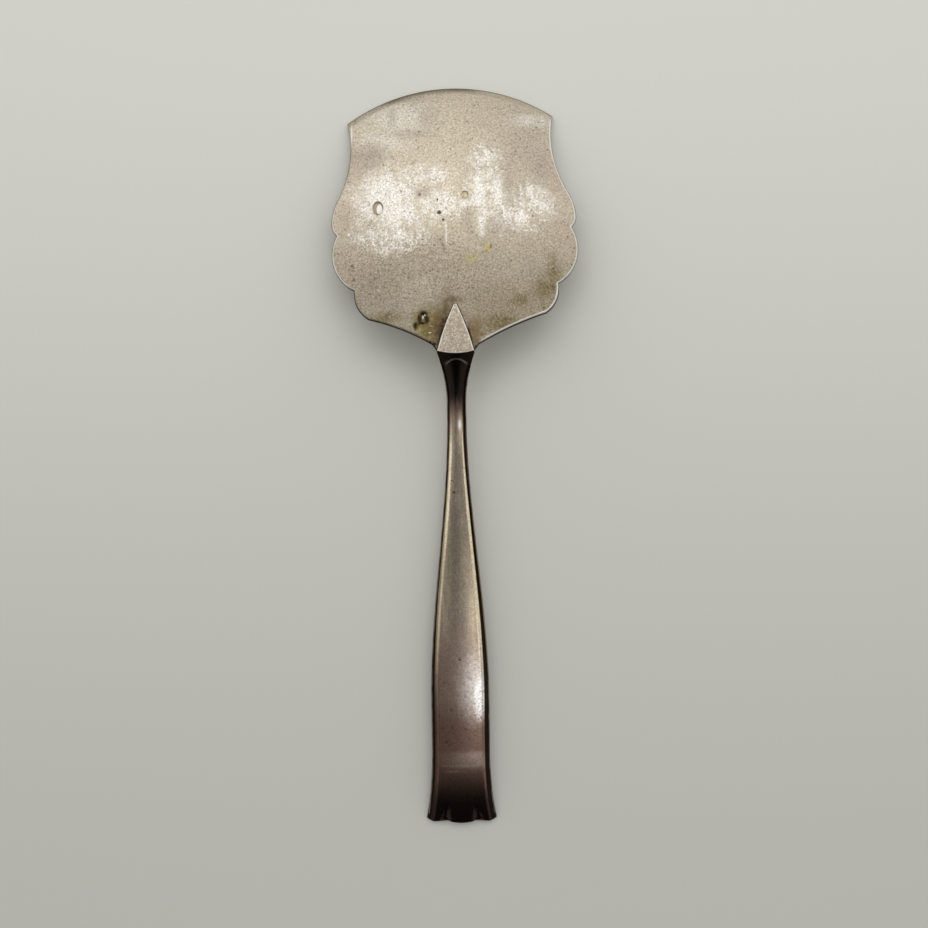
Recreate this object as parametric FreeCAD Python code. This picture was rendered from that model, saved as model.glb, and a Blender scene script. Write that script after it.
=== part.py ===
"""A small serving spatula lying face down, so that its back shows.

The dished blade and the cast handle are two pieces, hard-soldered where the handle's pointed
tongue laps onto the blade's back. +Y points to the blade's front edge, +Z is up, and the part
rests on the blade's front edge and on the handle's flared end.
"""
import FreeCAD, Part
import math
import os

Vector = FreeCAD.Vector

# Driving dimensions, in millimetres and degrees. Places along the blade and along the handle are
# measured from the crease, the sharp ridge where the tongue's flat top ends. Widths are whole
# widths, symmetrical about the piece's own axis, and insets are measured in from the lobes on
# one side. The finished part is moved so that its origin lies on the table under the middle of
# its box.

# Blade in plan
BLADE_LENGTH = 58.35
FRONT_WIDTH = 44.6
FRONT_RISE = 6.8
FLANK_HOLLOW = 1.55
LOBE_WIDTH = 52.15
FLANK_FOOT_INSET = 1.625
FLANK_FOOT_AT = 34.2
UPPER_LOBE_AT = 28.5
UPPER_NOTCH_INSET = 1.125
UPPER_NOTCH_AT = 26.0
LOWER_LOBE_AT = 20.8
LOWER_NOTCH_INSET = 4.675
LOWER_NOTCH_AT = 13.7
CHEEK_INSET = 5.125
CHEEK_AT = 10.2
SHOULDER_INSET = 7.575
SHOULDER_AT = 7.4
OGEE_WIDTH = 23.6
OGEE_AT = 4.95
HEEL_WIDTH = 9.7
HEEL_AT = 1.4
TAB_WIDTH = 7.0
TAB_DEPTH = 0.4

# Blade: sheet, dish and pose
SHEET_THICKNESS = 1.0
LENGTH_DISH_RADIUS = 250.0
CROSS_DISH_RADIUS = 120.0
BLADE_PITCH = 10.0
BLADE_SKEW = 1.5
BLADE_OFFSET = 0.65
FRONT_BEVEL_WIDTH = 1.5
FRONT_BEVEL_DEPTH = 0.45
SIDE_CHAMFER = 0.3
SHEET_MARGIN = 5.0

# Tongue and crease
TONGUE_LENGTH = 9.8
TONGUE_WIDTH = 7.7
TONGUE_MIDDLE_WIDTH = 4.25
TONGUE_MIDDLE_AT = 5.4
TONGUE_TIP_WIDTH = 1.0
TONGUE_TIP_ROUND = 0.4
TONGUE_TIP_THICKNESS = 0.35
TONGUE_BASE_THICKNESS = 1.1
TONGUE_MARGIN = 1.0
CREASE_BOW = 0.55
CREASE_FACET_ANGLE = 60.0
CREASE_FACET_LENGTH = 3.4
CREASE_FACET_WIDTH = 5.5

# Handle in plan
HANDLE_LENGTH = 101.15
NECK_ROOT_WIDTH = 7.9
NECK_WIDTH = 4.1
NECK_AT = 10.3
GRIP_STARTS_AT = 13.0
GRIP_WIDTH = 12.5
PARALLEL_LENGTH = 11.0
FLARE_LENGTH = 16.15
FLARE_WIDTH = 15.2

# Handle: heights and section
NECK_ROOT_DROP = 0.4
NECK_ROOT_THICKNESS = 3.0
NECK_THICKNESS = 2.6
GRIP_FALL = 2.7
GRIP_THICKNESS = 2.2
END_FALL = 2.6
END_THICKNESS = 1.3
RIM_WIDTH = 0.3
RIM_THICKNESS = 0.5
RIM_SLOPE = 0.08
NECK_WALL_RUN = 0.3
END_WALL_RUN = 0.85
SHOULDER_RUN = 0.4
SHOULDER_FALL = 0.26
ROOT_CROWN = 1.0
NECK_CROWN = 0.3
GRIP_CROWN = 0.2

# Handle's three-lobed end
END_NOTCH_WIDTH = 7.4
END_NOTCH_DEPTH = 0.7
SIDE_LOBE_WIDTH = 12.0
SIDE_LOBE_DEPTH = 0.35
END_CORNER_DEPTH = 1.0
FLUTE_LENGTH = 4.7
FLUTE_START_WIDTH = 5.6
FLUTE_RADIUS = 1.5
FLUTE_DEPTH = 0.6
FLUTE_OVERRUN = 1.0

# Loft stations along each stretch of the handle
NECK_STATIONS = 5
GRIP_STATIONS = 7
FLARE_STATIONS = 4


def smooth_step(start, end, position):
    """0 before start, 1 after end, and an S-curve between them."""
    share = min(max((position - start) / (end - start), 0.0), 1.0)
    return share * share * (3.0 - 2.0 * share)


def square_fade(end, position):
    """1 at the crease, falling as a parabola to 0 at end."""
    return (1.0 - min(position / end, 1.0)) ** 2


def square_growth(start, end, position):
    """0 up to start, growing as a parabola to 1 at end."""
    return max((position - start) / (end - start), 0.0) ** 2


def arc(start, middle, end):
    return Part.Arc(start, middle, end).toShape()


def line(start, end):
    return Part.LineSegment(start, end).toShape()


def polygon_face(points):
    return Part.Face(Part.makePolygon(points + points[:1]))


def upright_prism(edges, top):
    """A vertical prism between z = -top and z = top over a closed outline drawn at z = 0."""
    face = Part.Face(Part.Wire(edges))
    face.translate(Vector(0, 0, -top))
    return face.extrude(Vector(0, 0, 2 * top))


# Blade

FLANK_FOOT_WIDTH = LOBE_WIDTH - 2 * FLANK_FOOT_INSET
UPPER_NOTCH_WIDTH = LOBE_WIDTH - 2 * UPPER_NOTCH_INSET
LOWER_NOTCH_WIDTH = LOBE_WIDTH - 2 * LOWER_NOTCH_INSET
CHEEK_WIDTH = LOBE_WIDTH - 2 * CHEEK_INSET
SHOULDER_WIDTH = LOBE_WIDTH - 2 * SHOULDER_INSET


def on_blade(across, along):
    """A plan point given on the blade's own axis, which the solder joint left askew."""
    skew = math.radians(BLADE_SKEW)
    return Vector(BLADE_OFFSET + across * math.cos(skew) - along * math.sin(skew),
                  across * math.sin(skew) + along * math.cos(skew), 0)


def dish_rise(across, along, cross_radius):
    """Height above the dish's centre of the sheet's back or, with a smaller radius, its face."""
    radius = LENGTH_DISH_RADIUS - CROSS_DISH_RADIUS + math.sqrt(cross_radius ** 2 - across ** 2)
    return math.sqrt(radius ** 2 - along ** 2)


def dish_centre():
    """Centre of the dish's long arc: the heel is raised, and the lowest point of the front edge,
    at its middle or at its corners, touches the table."""
    front_slope = math.radians(BLADE_PITCH) + math.asin(BLADE_LENGTH / 2 / LENGTH_DISH_RADIUS)
    centre_y = BLADE_LENGTH - LENGTH_DISH_RADIUS * math.sin(front_slope)
    face_radius = CROSS_DISH_RADIUS - SHEET_THICKNESS
    middle = dish_rise(0, BLADE_LENGTH - centre_y, face_radius)
    corner_x, corner_y, _ = front_corner(1)
    corner = dish_rise(corner_x, corner_y - centre_y, face_radius)
    return Vector(0, centre_y, -min(middle, corner))


def back_height(along):
    """Height of the blade's back on its axis."""
    centre = dish_centre()
    return centre.z + dish_rise(0, along - centre.y, CROSS_DISH_RADIUS)


def dished_sheet():
    """The sheet before it is cut out: an arc across the blade, swung about a cross axis."""
    centre = dish_centre()
    arc_centre = centre + Vector(0, 0, LENGTH_DISH_RADIUS - CROSS_DISH_RADIUS)
    half_width = max(LOBE_WIDTH, FRONT_WIDTH) / 2 + SHEET_MARGIN
    half_angle = math.asin(half_width / CROSS_DISH_RADIUS)

    def cross_arc(radius, direction):
        ends = [arc_centre + Vector(math.sin(angle), 0, math.cos(angle)) * radius
                for angle in (-direction * half_angle, 0, direction * half_angle)]
        return arc(*ends)

    back = cross_arc(CROSS_DISH_RADIUS, 1)
    face = cross_arc(CROSS_DISH_RADIUS - SHEET_THICKNESS, -1)
    right = line(back.Vertexes[-1].Point, face.Vertexes[0].Point)
    left = line(face.Vertexes[-1].Point, back.Vertexes[0].Point)
    section = Part.Face(Part.Wire([back, right, face, left]))

    front_run = BLADE_LENGTH + SHEET_MARGIN - centre.y
    heel_run = -SHEET_MARGIN - centre.y
    front_turn = -math.degrees(math.asin(front_run / LENGTH_DISH_RADIUS))
    heel_turn = -math.degrees(math.asin(heel_run / LENGTH_DISH_RADIUS))
    across = Vector(1, 0, 0)
    section.rotate(centre, across, front_turn)
    sheet = section.revolve(centre, across, heel_turn - front_turn)
    sheet.rotate(Vector(0, 0, 0), Vector(0, 0, 1), BLADE_SKEW)
    sheet.translate(Vector(BLADE_OFFSET, 0, 0))
    return sheet


def front_corner(side):
    return Vector(side * FRONT_WIDTH / 2, BLADE_LENGTH - FRONT_RISE, 0)


def crest_arc_middle(crest_width, crest_at, width, along):
    """Middle of the arc that leaves a lobe's crest straight along the blade and ends at the
    given width and place, as a width and a place."""
    run = (crest_width - width) / 2
    rise = along - crest_at
    half_turn = math.atan(run / abs(rise))
    radius = math.hypot(run, rise) / (2 * math.sin(half_turn))
    middle_run = radius * (1 - math.cos(half_turn))
    middle_rise = math.copysign(radius * math.sin(half_turn), rise)
    return crest_width - 2 * middle_run, crest_at + middle_rise


def side_outline(side):
    """Edges from the front corner to the solder tab, on the right (1) or the left (-1)."""
    def at(width, along):
        return on_blade(side * width / 2, along)

    def upper_lobe_to(width, along):
        return at(*crest_arc_middle(LOBE_WIDTH, UPPER_LOBE_AT, width, along))

    corner = front_corner(side)
    start = on_blade(corner.x, corner.y)
    corner_to_foot_width = (FRONT_WIDTH + FLANK_FOOT_WIDTH) / 2
    flank = at(corner_to_foot_width - 2 * FLANK_HOLLOW, (corner.y + FLANK_FOOT_AT) / 2)
    flank_foot = at(FLANK_FOOT_WIDTH, FLANK_FOOT_AT)
    upper_lobe = at(LOBE_WIDTH, UPPER_LOBE_AT)
    upper_notch = at(UPPER_NOTCH_WIDTH, UPPER_NOTCH_AT)
    lower_notch = at(LOWER_NOTCH_WIDTH, LOWER_NOTCH_AT)
    shoulder = at(SHOULDER_WIDTH, SHOULDER_AT)
    heel = Vector(side * HEEL_WIDTH / 2, HEEL_AT, 0)
    return [
        arc(start, flank, flank_foot),
        arc(flank_foot, upper_lobe_to(FLANK_FOOT_WIDTH, FLANK_FOOT_AT), upper_lobe),
        arc(upper_lobe, upper_lobe_to(UPPER_NOTCH_WIDTH, UPPER_NOTCH_AT), upper_notch),
        arc(upper_notch, at(LOBE_WIDTH, LOWER_LOBE_AT), lower_notch),
        arc(lower_notch, at(CHEEK_WIDTH, CHEEK_AT), shoulder),
        arc(shoulder, at(OGEE_WIDTH, OGEE_AT), heel),
        line(heel, Vector(side * TAB_WIDTH / 2, -TAB_DEPTH, 0)),
    ]


def blade_outline():
    """Closed plan outline, clockwise from the left front corner."""
    right = side_outline(1)
    left = side_outline(-1)
    front = arc(left[0].Vertexes[0].Point, on_blade(0, BLADE_LENGTH), right[0].Vertexes[0].Point)
    tab_end = line(right[-1].Vertexes[-1].Point, left[-1].Vertexes[-1].Point)
    return [front] + right + [tab_end] + left[::-1]


def back_edges(blade):
    """The front edge of the sheet's back, and its side edges without the solder tab's."""
    broad = sorted(blade.Faces, key=lambda face: face.Area)[-2:]
    back = max(broad, key=lambda face: face.CenterOfMass.z)
    front = max(back.Edges, key=lambda edge: edge.CenterOfMass.y)
    sides = [edge for edge in back.Edges
             if edge.CenterOfMass.y > HEEL_AT and not edge.isSame(front)]
    return front, sides


def make_blade():
    """The dished sheet cut to its outline, its back bevelled all round up to the solder tab."""
    blade = dished_sheet().common(upright_prism(blade_outline(), BLADE_LENGTH)).Solids[0]
    front, _ = back_edges(blade)
    blade = blade.makeChamfer(FRONT_BEVEL_WIDTH, FRONT_BEVEL_DEPTH, [front])
    _, sides = back_edges(blade)
    return blade.makeChamfer(SIDE_CHAMFER, sides).Solids[0]


# Handle

FLARE_STARTS_AT = HANDLE_LENGTH - FLARE_LENGTH
GRIP_FULL_AT = FLARE_STARTS_AT - PARALLEL_LENGTH


def handle_width(position):
    """Width in plan: flared root, slim neck, broad grip and flared end."""
    root = (NECK_ROOT_WIDTH - NECK_WIDTH) * square_fade(NECK_AT, position)
    grip = (GRIP_WIDTH - NECK_WIDTH) * smooth_step(GRIP_STARTS_AT, GRIP_FULL_AT, position)
    flare = (FLARE_WIDTH - GRIP_WIDTH) * square_growth(FLARE_STARTS_AT, HANDLE_LENGTH, position)
    return NECK_WIDTH + root + grip + flare


def handle_back(position):
    """Height of the back's crown: it drops steeply at the neck, runs gently down the grip and
    curves down to the table at the end."""
    root_height = back_height(0) + TONGUE_BASE_THICKNESS - NECK_ROOT_DROP
    neck_height = END_THICKNESS + END_FALL + GRIP_FALL
    neck = (root_height - neck_height) * square_fade(GRIP_STARTS_AT, position)
    grip = GRIP_FALL * min(max(position / FLARE_STARTS_AT, 0.0), 1.0)
    end = END_FALL * square_growth(FLARE_STARTS_AT, HANDLE_LENGTH, position)
    return neck_height + neck - grip - end


def handle_thickness(position):
    root = (NECK_ROOT_THICKNESS - NECK_THICKNESS) * square_fade(NECK_AT, position)
    grip = (GRIP_THICKNESS - NECK_THICKNESS) * smooth_step(NECK_AT, FLARE_STARTS_AT, position)
    end = (END_THICKNESS - GRIP_THICKNESS) * square_growth(FLARE_STARTS_AT, HANDLE_LENGTH, position)
    return NECK_THICKNESS + root + grip + end


def handle_core(position):
    """Height of the middle of the handle's thickness."""
    return handle_back(position) - handle_thickness(position) / 2


def handle_crown(position):
    """Height of the crown above the panel's edges: high at the root, low along the grip."""
    root = (ROOT_CROWN - NECK_CROWN) * square_fade(GRIP_STARTS_AT, position)
    grip = (GRIP_CROWN - NECK_CROWN) * smooth_step(GRIP_STARTS_AT, GRIP_FULL_AT, position)
    return NECK_CROWN + root + grip


def handle_section(position):
    """Closed section: flat front, thin rim, steep wall, chamfered shoulder and crowned back."""
    half = handle_width(position) / 2
    back = handle_back(position)
    front = back - handle_thickness(position)
    wall_run = NECK_WALL_RUN + (END_WALL_RUN - NECK_WALL_RUN) * smooth_step(
        GRIP_STARTS_AT, FLARE_STARTS_AT, position)
    edge = back - handle_crown(position)
    wall_foot = half - RIM_WIDTH
    wall_top = wall_foot - wall_run

    def right(x, z):
        return Vector(x, -position, z)

    def left(x, z):
        return Vector(-x, -position, z)

    def half_profile(at):
        return [at(half, front), at(half, front + RIM_THICKNESS),
                at(wall_foot, front + RIM_THICKNESS + RIM_SLOPE),
                at(wall_top, edge - SHOULDER_FALL), at(wall_top - SHOULDER_RUN, edge)]

    r = half_profile(right)
    l = half_profile(left)
    return Part.Wire([
        line(l[0], r[0]), line(r[0], r[1]), line(r[1], r[2]), line(r[2], r[3]), line(r[3], r[4]),
        arc(r[4], right(0, back), l[4]), line(l[4], l[3]), line(l[3], l[2]), line(l[2], l[1]),
        line(l[1], l[0])])


def stations(start, end, count):
    return [start + (end - start) * i / count for i in range(count)]


def handle_bar():
    """The neck and grip as one loft, a little longer than the finished handle."""
    overrun = END_CORNER_DEPTH
    places = (stations(0, GRIP_STARTS_AT, NECK_STATIONS)
              + stations(GRIP_STARTS_AT, FLARE_STARTS_AT, GRIP_STATIONS)
              + stations(FLARE_STARTS_AT, HANDLE_LENGTH + overrun, FLARE_STATIONS)
              + [HANDLE_LENGTH + overrun])
    return Part.makeLoft([handle_section(place) for place in places], True, False)


def end_outline():
    """Plan outline whose lower side is the three-lobed end, and whose other sides lie clear."""
    clear = FLARE_WIDTH
    tip = -HANDLE_LENGTH
    notch = Vector(END_NOTCH_WIDTH / 2, tip + END_NOTCH_DEPTH, 0)
    lobe = Vector(SIDE_LOBE_WIDTH / 2, tip + SIDE_LOBE_DEPTH, 0)
    corner = Vector(FLARE_WIDTH / 2, tip + END_CORNER_DEPTH, 0)

    def mirrored(point):
        return Vector(-point.x, point.y, 0)

    return [
        arc(mirrored(corner), mirrored(lobe), mirrored(notch)),
        arc(mirrored(notch), Vector(0, tip, 0), notch),
        arc(notch, lobe, corner),
        line(corner, Vector(clear, corner.y, 0)),
        line(Vector(clear, corner.y, 0), Vector(clear, clear, 0)),
        line(Vector(clear, clear, 0), Vector(-clear, clear, 0)),
        line(Vector(-clear, clear, 0), Vector(-clear, corner.y, 0)),
        line(Vector(-clear, corner.y, 0), mirrored(corner)),
    ]


def flute(side):
    """A cone that scoops a groove which widens towards the end, between two lobes."""
    start_at = HANDLE_LENGTH - FLUTE_LENGTH
    start = Vector(side * FLUTE_START_WIDTH / 2, -start_at, handle_back(start_at) - GRIP_CROWN / 2)
    end = Vector(side * END_NOTCH_WIDTH / 2, -HANDLE_LENGTH,
                 handle_back(HANDLE_LENGTH) - GRIP_CROWN / 2 + FLUTE_RADIUS - FLUTE_DEPTH)
    axis = end - start
    stretch = (axis.Length + FLUTE_OVERRUN) / axis.Length
    return Part.makeCone(0, FLUTE_RADIUS * stretch, axis.Length * stretch, start, axis)


def tongue_outline():
    """Plan outline of the tongue, and of the facet below the crease."""
    side_y = TONGUE_LENGTH - TONGUE_TIP_ROUND
    right = [Vector(CREASE_FACET_WIDTH / 2, -CREASE_FACET_LENGTH, 0), Vector(TONGUE_WIDTH / 2, 0, 0),
             Vector(TONGUE_MIDDLE_WIDTH / 2, TONGUE_MIDDLE_AT, 0),
             Vector(TONGUE_TIP_WIDTH / 2, side_y, 0)]
    left = [Vector(-point.x, point.y, 0) for point in right]
    return [
        line(left[0], right[0]),
        line(right[0], right[1]),
        arc(right[1], right[2], right[3]),
        arc(right[3], Vector(0, TONGUE_LENGTH, 0), left[3]),
        arc(left[3], left[2], left[1]),
        line(left[1], left[0]),
    ]


def tongue_profile():
    """Side profile in the YZ plane: flat top, and an underside that runs inside the blade's sheet
    in front of the crease and inside the neck behind it."""
    ridge = back_height(0) + TONGUE_BASE_THICKNESS
    tip = back_height(TONGUE_LENGTH) + TONGUE_TIP_THICKNESS
    slope = (ridge - tip) / TONGUE_LENGTH
    front_y = TONGUE_LENGTH + TONGUE_MARGIN
    back_y = -CREASE_FACET_LENGTH - TONGUE_MARGIN
    points = [
        Vector(0, front_y, ridge - slope * front_y),
        Vector(0, back_y, ridge - slope * back_y),
        Vector(0, back_y, handle_core(-back_y)),
        Vector(0, 0, handle_core(0)),
        Vector(0, 0, back_height(0) - SHEET_THICKNESS / 2),
        Vector(0, front_y, back_height(front_y) - SHEET_THICKNESS / 2),
    ]
    return polygon_face(points)


def crease_cone():
    """A blunt cone about an upright axis: its flank is the steep facet under the bowed crease."""
    half = TONGUE_WIDTH / 2
    crease_radius = (half ** 2 + CREASE_BOW ** 2) / (2 * CREASE_BOW)
    ridge = back_height(0) + TONGUE_BASE_THICKNESS
    run_per_height = 1 / math.tan(math.radians(CREASE_FACET_ANGLE))
    drop = 2 * NECK_ROOT_THICKNESS
    return Part.makeCone(crease_radius + drop * run_per_height, crease_radius - drop * run_per_height,
                         2 * drop, Vector(0, crease_radius - CREASE_BOW, ridge - drop))


def make_tongue():
    width = Vector(TONGUE_WIDTH, 0, 0)
    profile = tongue_profile()
    profile.translate(width * -1)
    block = profile.extrude(width * 2)
    return block.common(upright_prism(tongue_outline(), BLADE_LENGTH)).common(crease_cone())


def make_handle(blade):
    bar = handle_bar().common(upright_prism(end_outline(), BLADE_LENGTH))
    handle = bar.cut(flute(1)).cut(flute(-1)).fuse(make_tongue()).cut(blade)
    return handle.Solids[0]


def set_on_origin(shapes):
    """The pieces, moved so that the origin lies on the table under the middle of their box."""
    box = Part.makeCompound(shapes).optimalBoundingBox(False)
    move = Vector(-box.Center.x, -box.Center.y, -box.ZMin)
    return [shape.translated(move) for shape in shapes]


def main():
    os.makedirs("parts", exist_ok=True)
    blade = make_blade()
    blade, handle = set_on_origin([blade, make_handle(blade)])
    for name, shape in (("blade", blade), ("handle", handle)):
        print(name, shape.isValid(), round(shape.Volume, 2), shape.optimalBoundingBox(False))
        shape.exportStep("parts/" + name + ".step")


main()
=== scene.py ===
import bpy
import math
import numpy as np
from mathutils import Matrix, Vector


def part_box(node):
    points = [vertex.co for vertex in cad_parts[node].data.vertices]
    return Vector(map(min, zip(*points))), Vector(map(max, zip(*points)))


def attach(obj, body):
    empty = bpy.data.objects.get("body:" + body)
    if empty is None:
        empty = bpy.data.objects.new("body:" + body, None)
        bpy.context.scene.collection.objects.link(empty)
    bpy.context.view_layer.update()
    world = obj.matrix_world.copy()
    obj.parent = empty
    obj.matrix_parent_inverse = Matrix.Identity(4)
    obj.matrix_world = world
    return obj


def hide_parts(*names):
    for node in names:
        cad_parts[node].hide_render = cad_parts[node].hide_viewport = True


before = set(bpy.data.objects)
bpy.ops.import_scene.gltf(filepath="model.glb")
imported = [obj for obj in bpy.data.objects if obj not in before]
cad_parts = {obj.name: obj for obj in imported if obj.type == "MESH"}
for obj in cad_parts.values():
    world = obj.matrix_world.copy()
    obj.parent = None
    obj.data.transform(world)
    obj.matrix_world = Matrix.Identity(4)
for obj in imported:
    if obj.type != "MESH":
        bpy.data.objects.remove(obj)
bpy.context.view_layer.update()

# A small silver-plated serving spatula, face down. Lengths are in metres. Plan places are given
# from the crease, the ridge where the tongue's flat top ends: across to the right, and along
# towards the blade's front edge. Places on the handle are distances from the crease.

MM = 0.001

# Blade
BLADE_LENGTH = 58.35 * MM
FRONT_WIDTH = 44.6 * MM
FRONT_RISE = 6.8 * MM
FLANK_HOLLOW = 1.55 * MM
LOBE_WIDTH = 52.14 * MM
FLANK_FOOT = (48.9 * MM, 34.2 * MM)
UPPER_LOBE_AT = 28.5 * MM
UPPER_NOTCH = (49.9 * MM, 26.0 * MM)
LOWER_LOBE_AT = 20.8 * MM
LOWER_NOTCH = (42.8 * MM, 13.7 * MM)
CHEEK = (41.9 * MM, 10.2 * MM)
SHOULDER = (37.0 * MM, 7.4 * MM)
OGEE = (23.6 * MM, 4.95 * MM)
HEEL = (9.7 * MM, 1.4 * MM)
TAB = (7.0 * MM, -0.4 * MM)
SHEET_THICKNESS = 1.0 * MM
LENGTH_DISH_RADIUS = 250 * MM
CROSS_DISH_RADIUS = 120 * MM
BLADE_PITCH = math.radians(10)
BLADE_SKEW = math.radians(1.5)
BLADE_OFFSET = 0.65 * MM
FRONT_BEVEL = (1.5 * MM, 0.45 * MM)
SIDE_BEVEL = (0.45 * MM, 0.32 * MM)
FACE_ROUND = (0.3 * MM, 0.15 * MM)

# Tongue and crease
TONGUE_LENGTH = 9.8 * MM
TONGUE_WIDTH = 7.7 * MM
TONGUE_MIDDLE = (4.25 * MM, 5.4 * MM)
TONGUE_TIP_WIDTH = 1.0 * MM
TONGUE_TIP_ROUND = 0.4 * MM
TONGUE_TIP_THICKNESS = 0.35 * MM
TONGUE_BASE_THICKNESS = 1.1 * MM
CREASE_BOW = 0.55 * MM
FACET_SLOPE = math.tan(math.radians(60))
FACET_LENGTH = 3.4 * MM
FACET_WIDTH = 5.5 * MM

# Handle
HANDLE_LENGTH = 101.15 * MM
NECK_ROOT_WIDTH = 7.9 * MM
NECK_WIDTH = 4.1 * MM
NECK_AT = 10.3 * MM
GRIP_STARTS_AT = 13.0 * MM
GRIP_FULL_AT = 74.0 * MM
FLARE_STARTS_AT = 85.0 * MM
GRIP_WIDTH = 12.5 * MM
FLARE_WIDTH = 15.2 * MM
NECK_ROOT_DROP = 0.4 * MM
NECK_ROOT_THICKNESS = 3.0 * MM
NECK_THICKNESS = 2.6 * MM
GRIP_FALL = 2.7 * MM
GRIP_THICKNESS = 2.2 * MM
END_FALL = 2.6 * MM
END_THICKNESS = 1.3 * MM
RIM_WIDTH = 0.3 * MM
RIM_THICKNESS = 0.5 * MM
RIM_SLOPE = 0.08 * MM
NECK_WALL_RUN = 0.3 * MM
END_WALL_RUN = 0.85 * MM
SHOULDER_RUN = 0.4 * MM
SHOULDER_FALL = 0.26 * MM
ROOT_CROWN = 1.0 * MM
NECK_CROWN = 0.3 * MM
GRIP_CROWN = 0.2 * MM
END_NOTCH = (7.4 * MM, 0.7 * MM)
SIDE_LOBE = (12.0 * MM, 0.35 * MM)
END_CORNER_DEPTH = 1.0 * MM
FLUTE_LENGTH = 4.7 * MM
FLUTE_START_WIDTH = 5.6 * MM
FLUTE_HALF_WIDTH = 1.2 * MM
FLUTE_DEPTH = 0.6 * MM

handle_low, handle_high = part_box("handle")
AXIS_X = (handle_low.x + handle_high.x) / 2
CREASE_Y = handle_high.y - TONGUE_LENGTH


# Curves

STRAIGHT = 1e-9


def arc_through(start, middle, end, spacing):
    """Points about spacing apart on the arc through three plan points, without its last one."""
    a, b, c = (complex(*point) for point in (start, middle, end))
    w = (c - a) / (b - a)
    if abs(w.imag) < STRAIGHT:
        count = max(1, round(abs(c - a) / spacing))
        steps = [a + (c - a) * i / count for i in range(count)]
        return [(step.real, step.imag) for step in steps]
    centre = (b - a) * (w - abs(w) ** 2) / (2j * w.imag) + a
    radius = abs(a - centre)

    def turn(point):
        return math.atan2((point - centre).imag, (point - centre).real)

    first = turn(a)
    way = 1 if ((b - a).conjugate() * (c - b)).imag > 0 else -1
    sweep = (way * (turn(c) - first)) % (2 * math.pi)
    count = max(1, round(radius * sweep / spacing))
    angles = [first + way * sweep * i / count for i in range(count)]
    return [(centre.real + radius * math.cos(t), centre.imag + radius * math.sin(t)) for t in angles]


def smooth_step(start, end, position):
    share = np.clip((position - start) / (end - start), 0, 1)
    return share * share * (3 - 2 * share)


def square_fade(end, position):
    """1 at the crease, falling as a parabola to 0 at end."""
    return (1 - np.minimum(position / end, 1)) ** 2


def square_growth(start, end, position):
    return np.maximum((position - start) / (end - start), 0) ** 2


# Blade's dish

FRONT_SLOPE = BLADE_PITCH + math.asin(BLADE_LENGTH / 2 / LENGTH_DISH_RADIUS)
DISH_Y = BLADE_LENGTH - LENGTH_DISH_RADIUS * math.sin(FRONT_SLOPE)


def dish_rise(across, along, depth):
    """Height above the dish's centre of a point that lies depth under the sheet's back."""
    cross = np.sqrt((CROSS_DISH_RADIUS - depth) ** 2 - np.square(across))
    return np.sqrt((LENGTH_DISH_RADIUS - CROSS_DISH_RADIUS + cross) ** 2 - np.square(along - DISH_Y))


DISH_Z = -min(dish_rise(0, BLADE_LENGTH, SHEET_THICKNESS),
              dish_rise(FRONT_WIDTH / 2, BLADE_LENGTH - FRONT_RISE, SHEET_THICKNESS))


def back_height(along):
    """Height of the blade's back on its axis."""
    return DISH_Z + dish_rise(0, along, 0)


def on_blade(across, along):
    """A point on the blade's own axis, as a plan point from the crease."""
    return (BLADE_OFFSET + across * math.cos(BLADE_SKEW) - along * math.sin(BLADE_SKEW),
            across * math.sin(BLADE_SKEW) + along * math.cos(BLADE_SKEW))


# Blade's outline

def crest_arc_middle(crest_width, crest_at, width, along):
    """Middle of the arc that leaves a lobe's crest straight along the blade."""
    run = (crest_width - width) / 2
    rise = along - crest_at
    half_turn = math.atan(run / abs(rise))
    radius = math.hypot(run, rise) / (2 * math.sin(half_turn))
    return (crest_width - 2 * radius * (1 - math.cos(half_turn)),
            crest_at + math.copysign(radius * math.sin(half_turn), rise))


OUTLINE_SPACING = 0.34 * MM


def side_outline(side):
    """Plan points from the front corner to the solder tab, and how many of them there are."""
    def at(place):
        return on_blade(side * place[0] / 2, place[1])

    corner = (FRONT_WIDTH, BLADE_LENGTH - FRONT_RISE)
    flank = ((corner[0] + FLANK_FOOT[0]) / 2 - 2 * FLANK_HOLLOW, (corner[1] + FLANK_FOOT[1]) / 2)
    upper = (LOBE_WIDTH, UPPER_LOBE_AT)
    lower = (LOBE_WIDTH, LOWER_LOBE_AT)
    heel = (side * HEEL[0] / 2, HEEL[1])
    arcs = [
        (at(corner), at(flank), at(FLANK_FOOT)),
        (at(FLANK_FOOT), at(crest_arc_middle(*upper, *FLANK_FOOT)), at(upper)),
        (at(upper), at(crest_arc_middle(*upper, *UPPER_NOTCH)), at(UPPER_NOTCH)),
        (at(UPPER_NOTCH), at(lower), at(LOWER_NOTCH)),
        (at(LOWER_NOTCH), at(CHEEK), at(SHOULDER)),
        (at(SHOULDER), at(OGEE), heel),
    ]
    points = [point for ends in arcs for point in arc_through(*ends, OUTLINE_SPACING)]
    return points + [heel]


def blade_outline():
    """Closed plan outline with the front arc first, and the front arc's number of points."""
    right = side_outline(1)
    left = side_outline(-1)
    front = arc_through(left[0], on_blade(0, BLADE_LENGTH), right[0], OUTLINE_SPACING)
    tab = [(TAB[0] / 2, TAB[1]), (-TAB[0] / 2, TAB[1])]
    return np.array(front + right + tab + left[:0:-1]), len(front)


TONGUE_SPACING = 0.12 * MM
TIP_SPACING = 0.06 * MM


def tongue_side():
    """Plan points of the tongue's right side from the crease to the tip."""
    tip = (TONGUE_TIP_WIDTH / 2, TONGUE_LENGTH - TONGUE_TIP_ROUND)
    middle = (TONGUE_MIDDLE[0] / 2, TONGUE_MIDDLE[1])
    side = arc_through((TONGUE_WIDTH / 2, 0), middle, tip, TONGUE_SPACING)
    end = arc_through(tip, (0, TONGUE_LENGTH), (-tip[0], tip[1]), TIP_SPACING)
    return np.array(side + end[:len(end) // 2])


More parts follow.
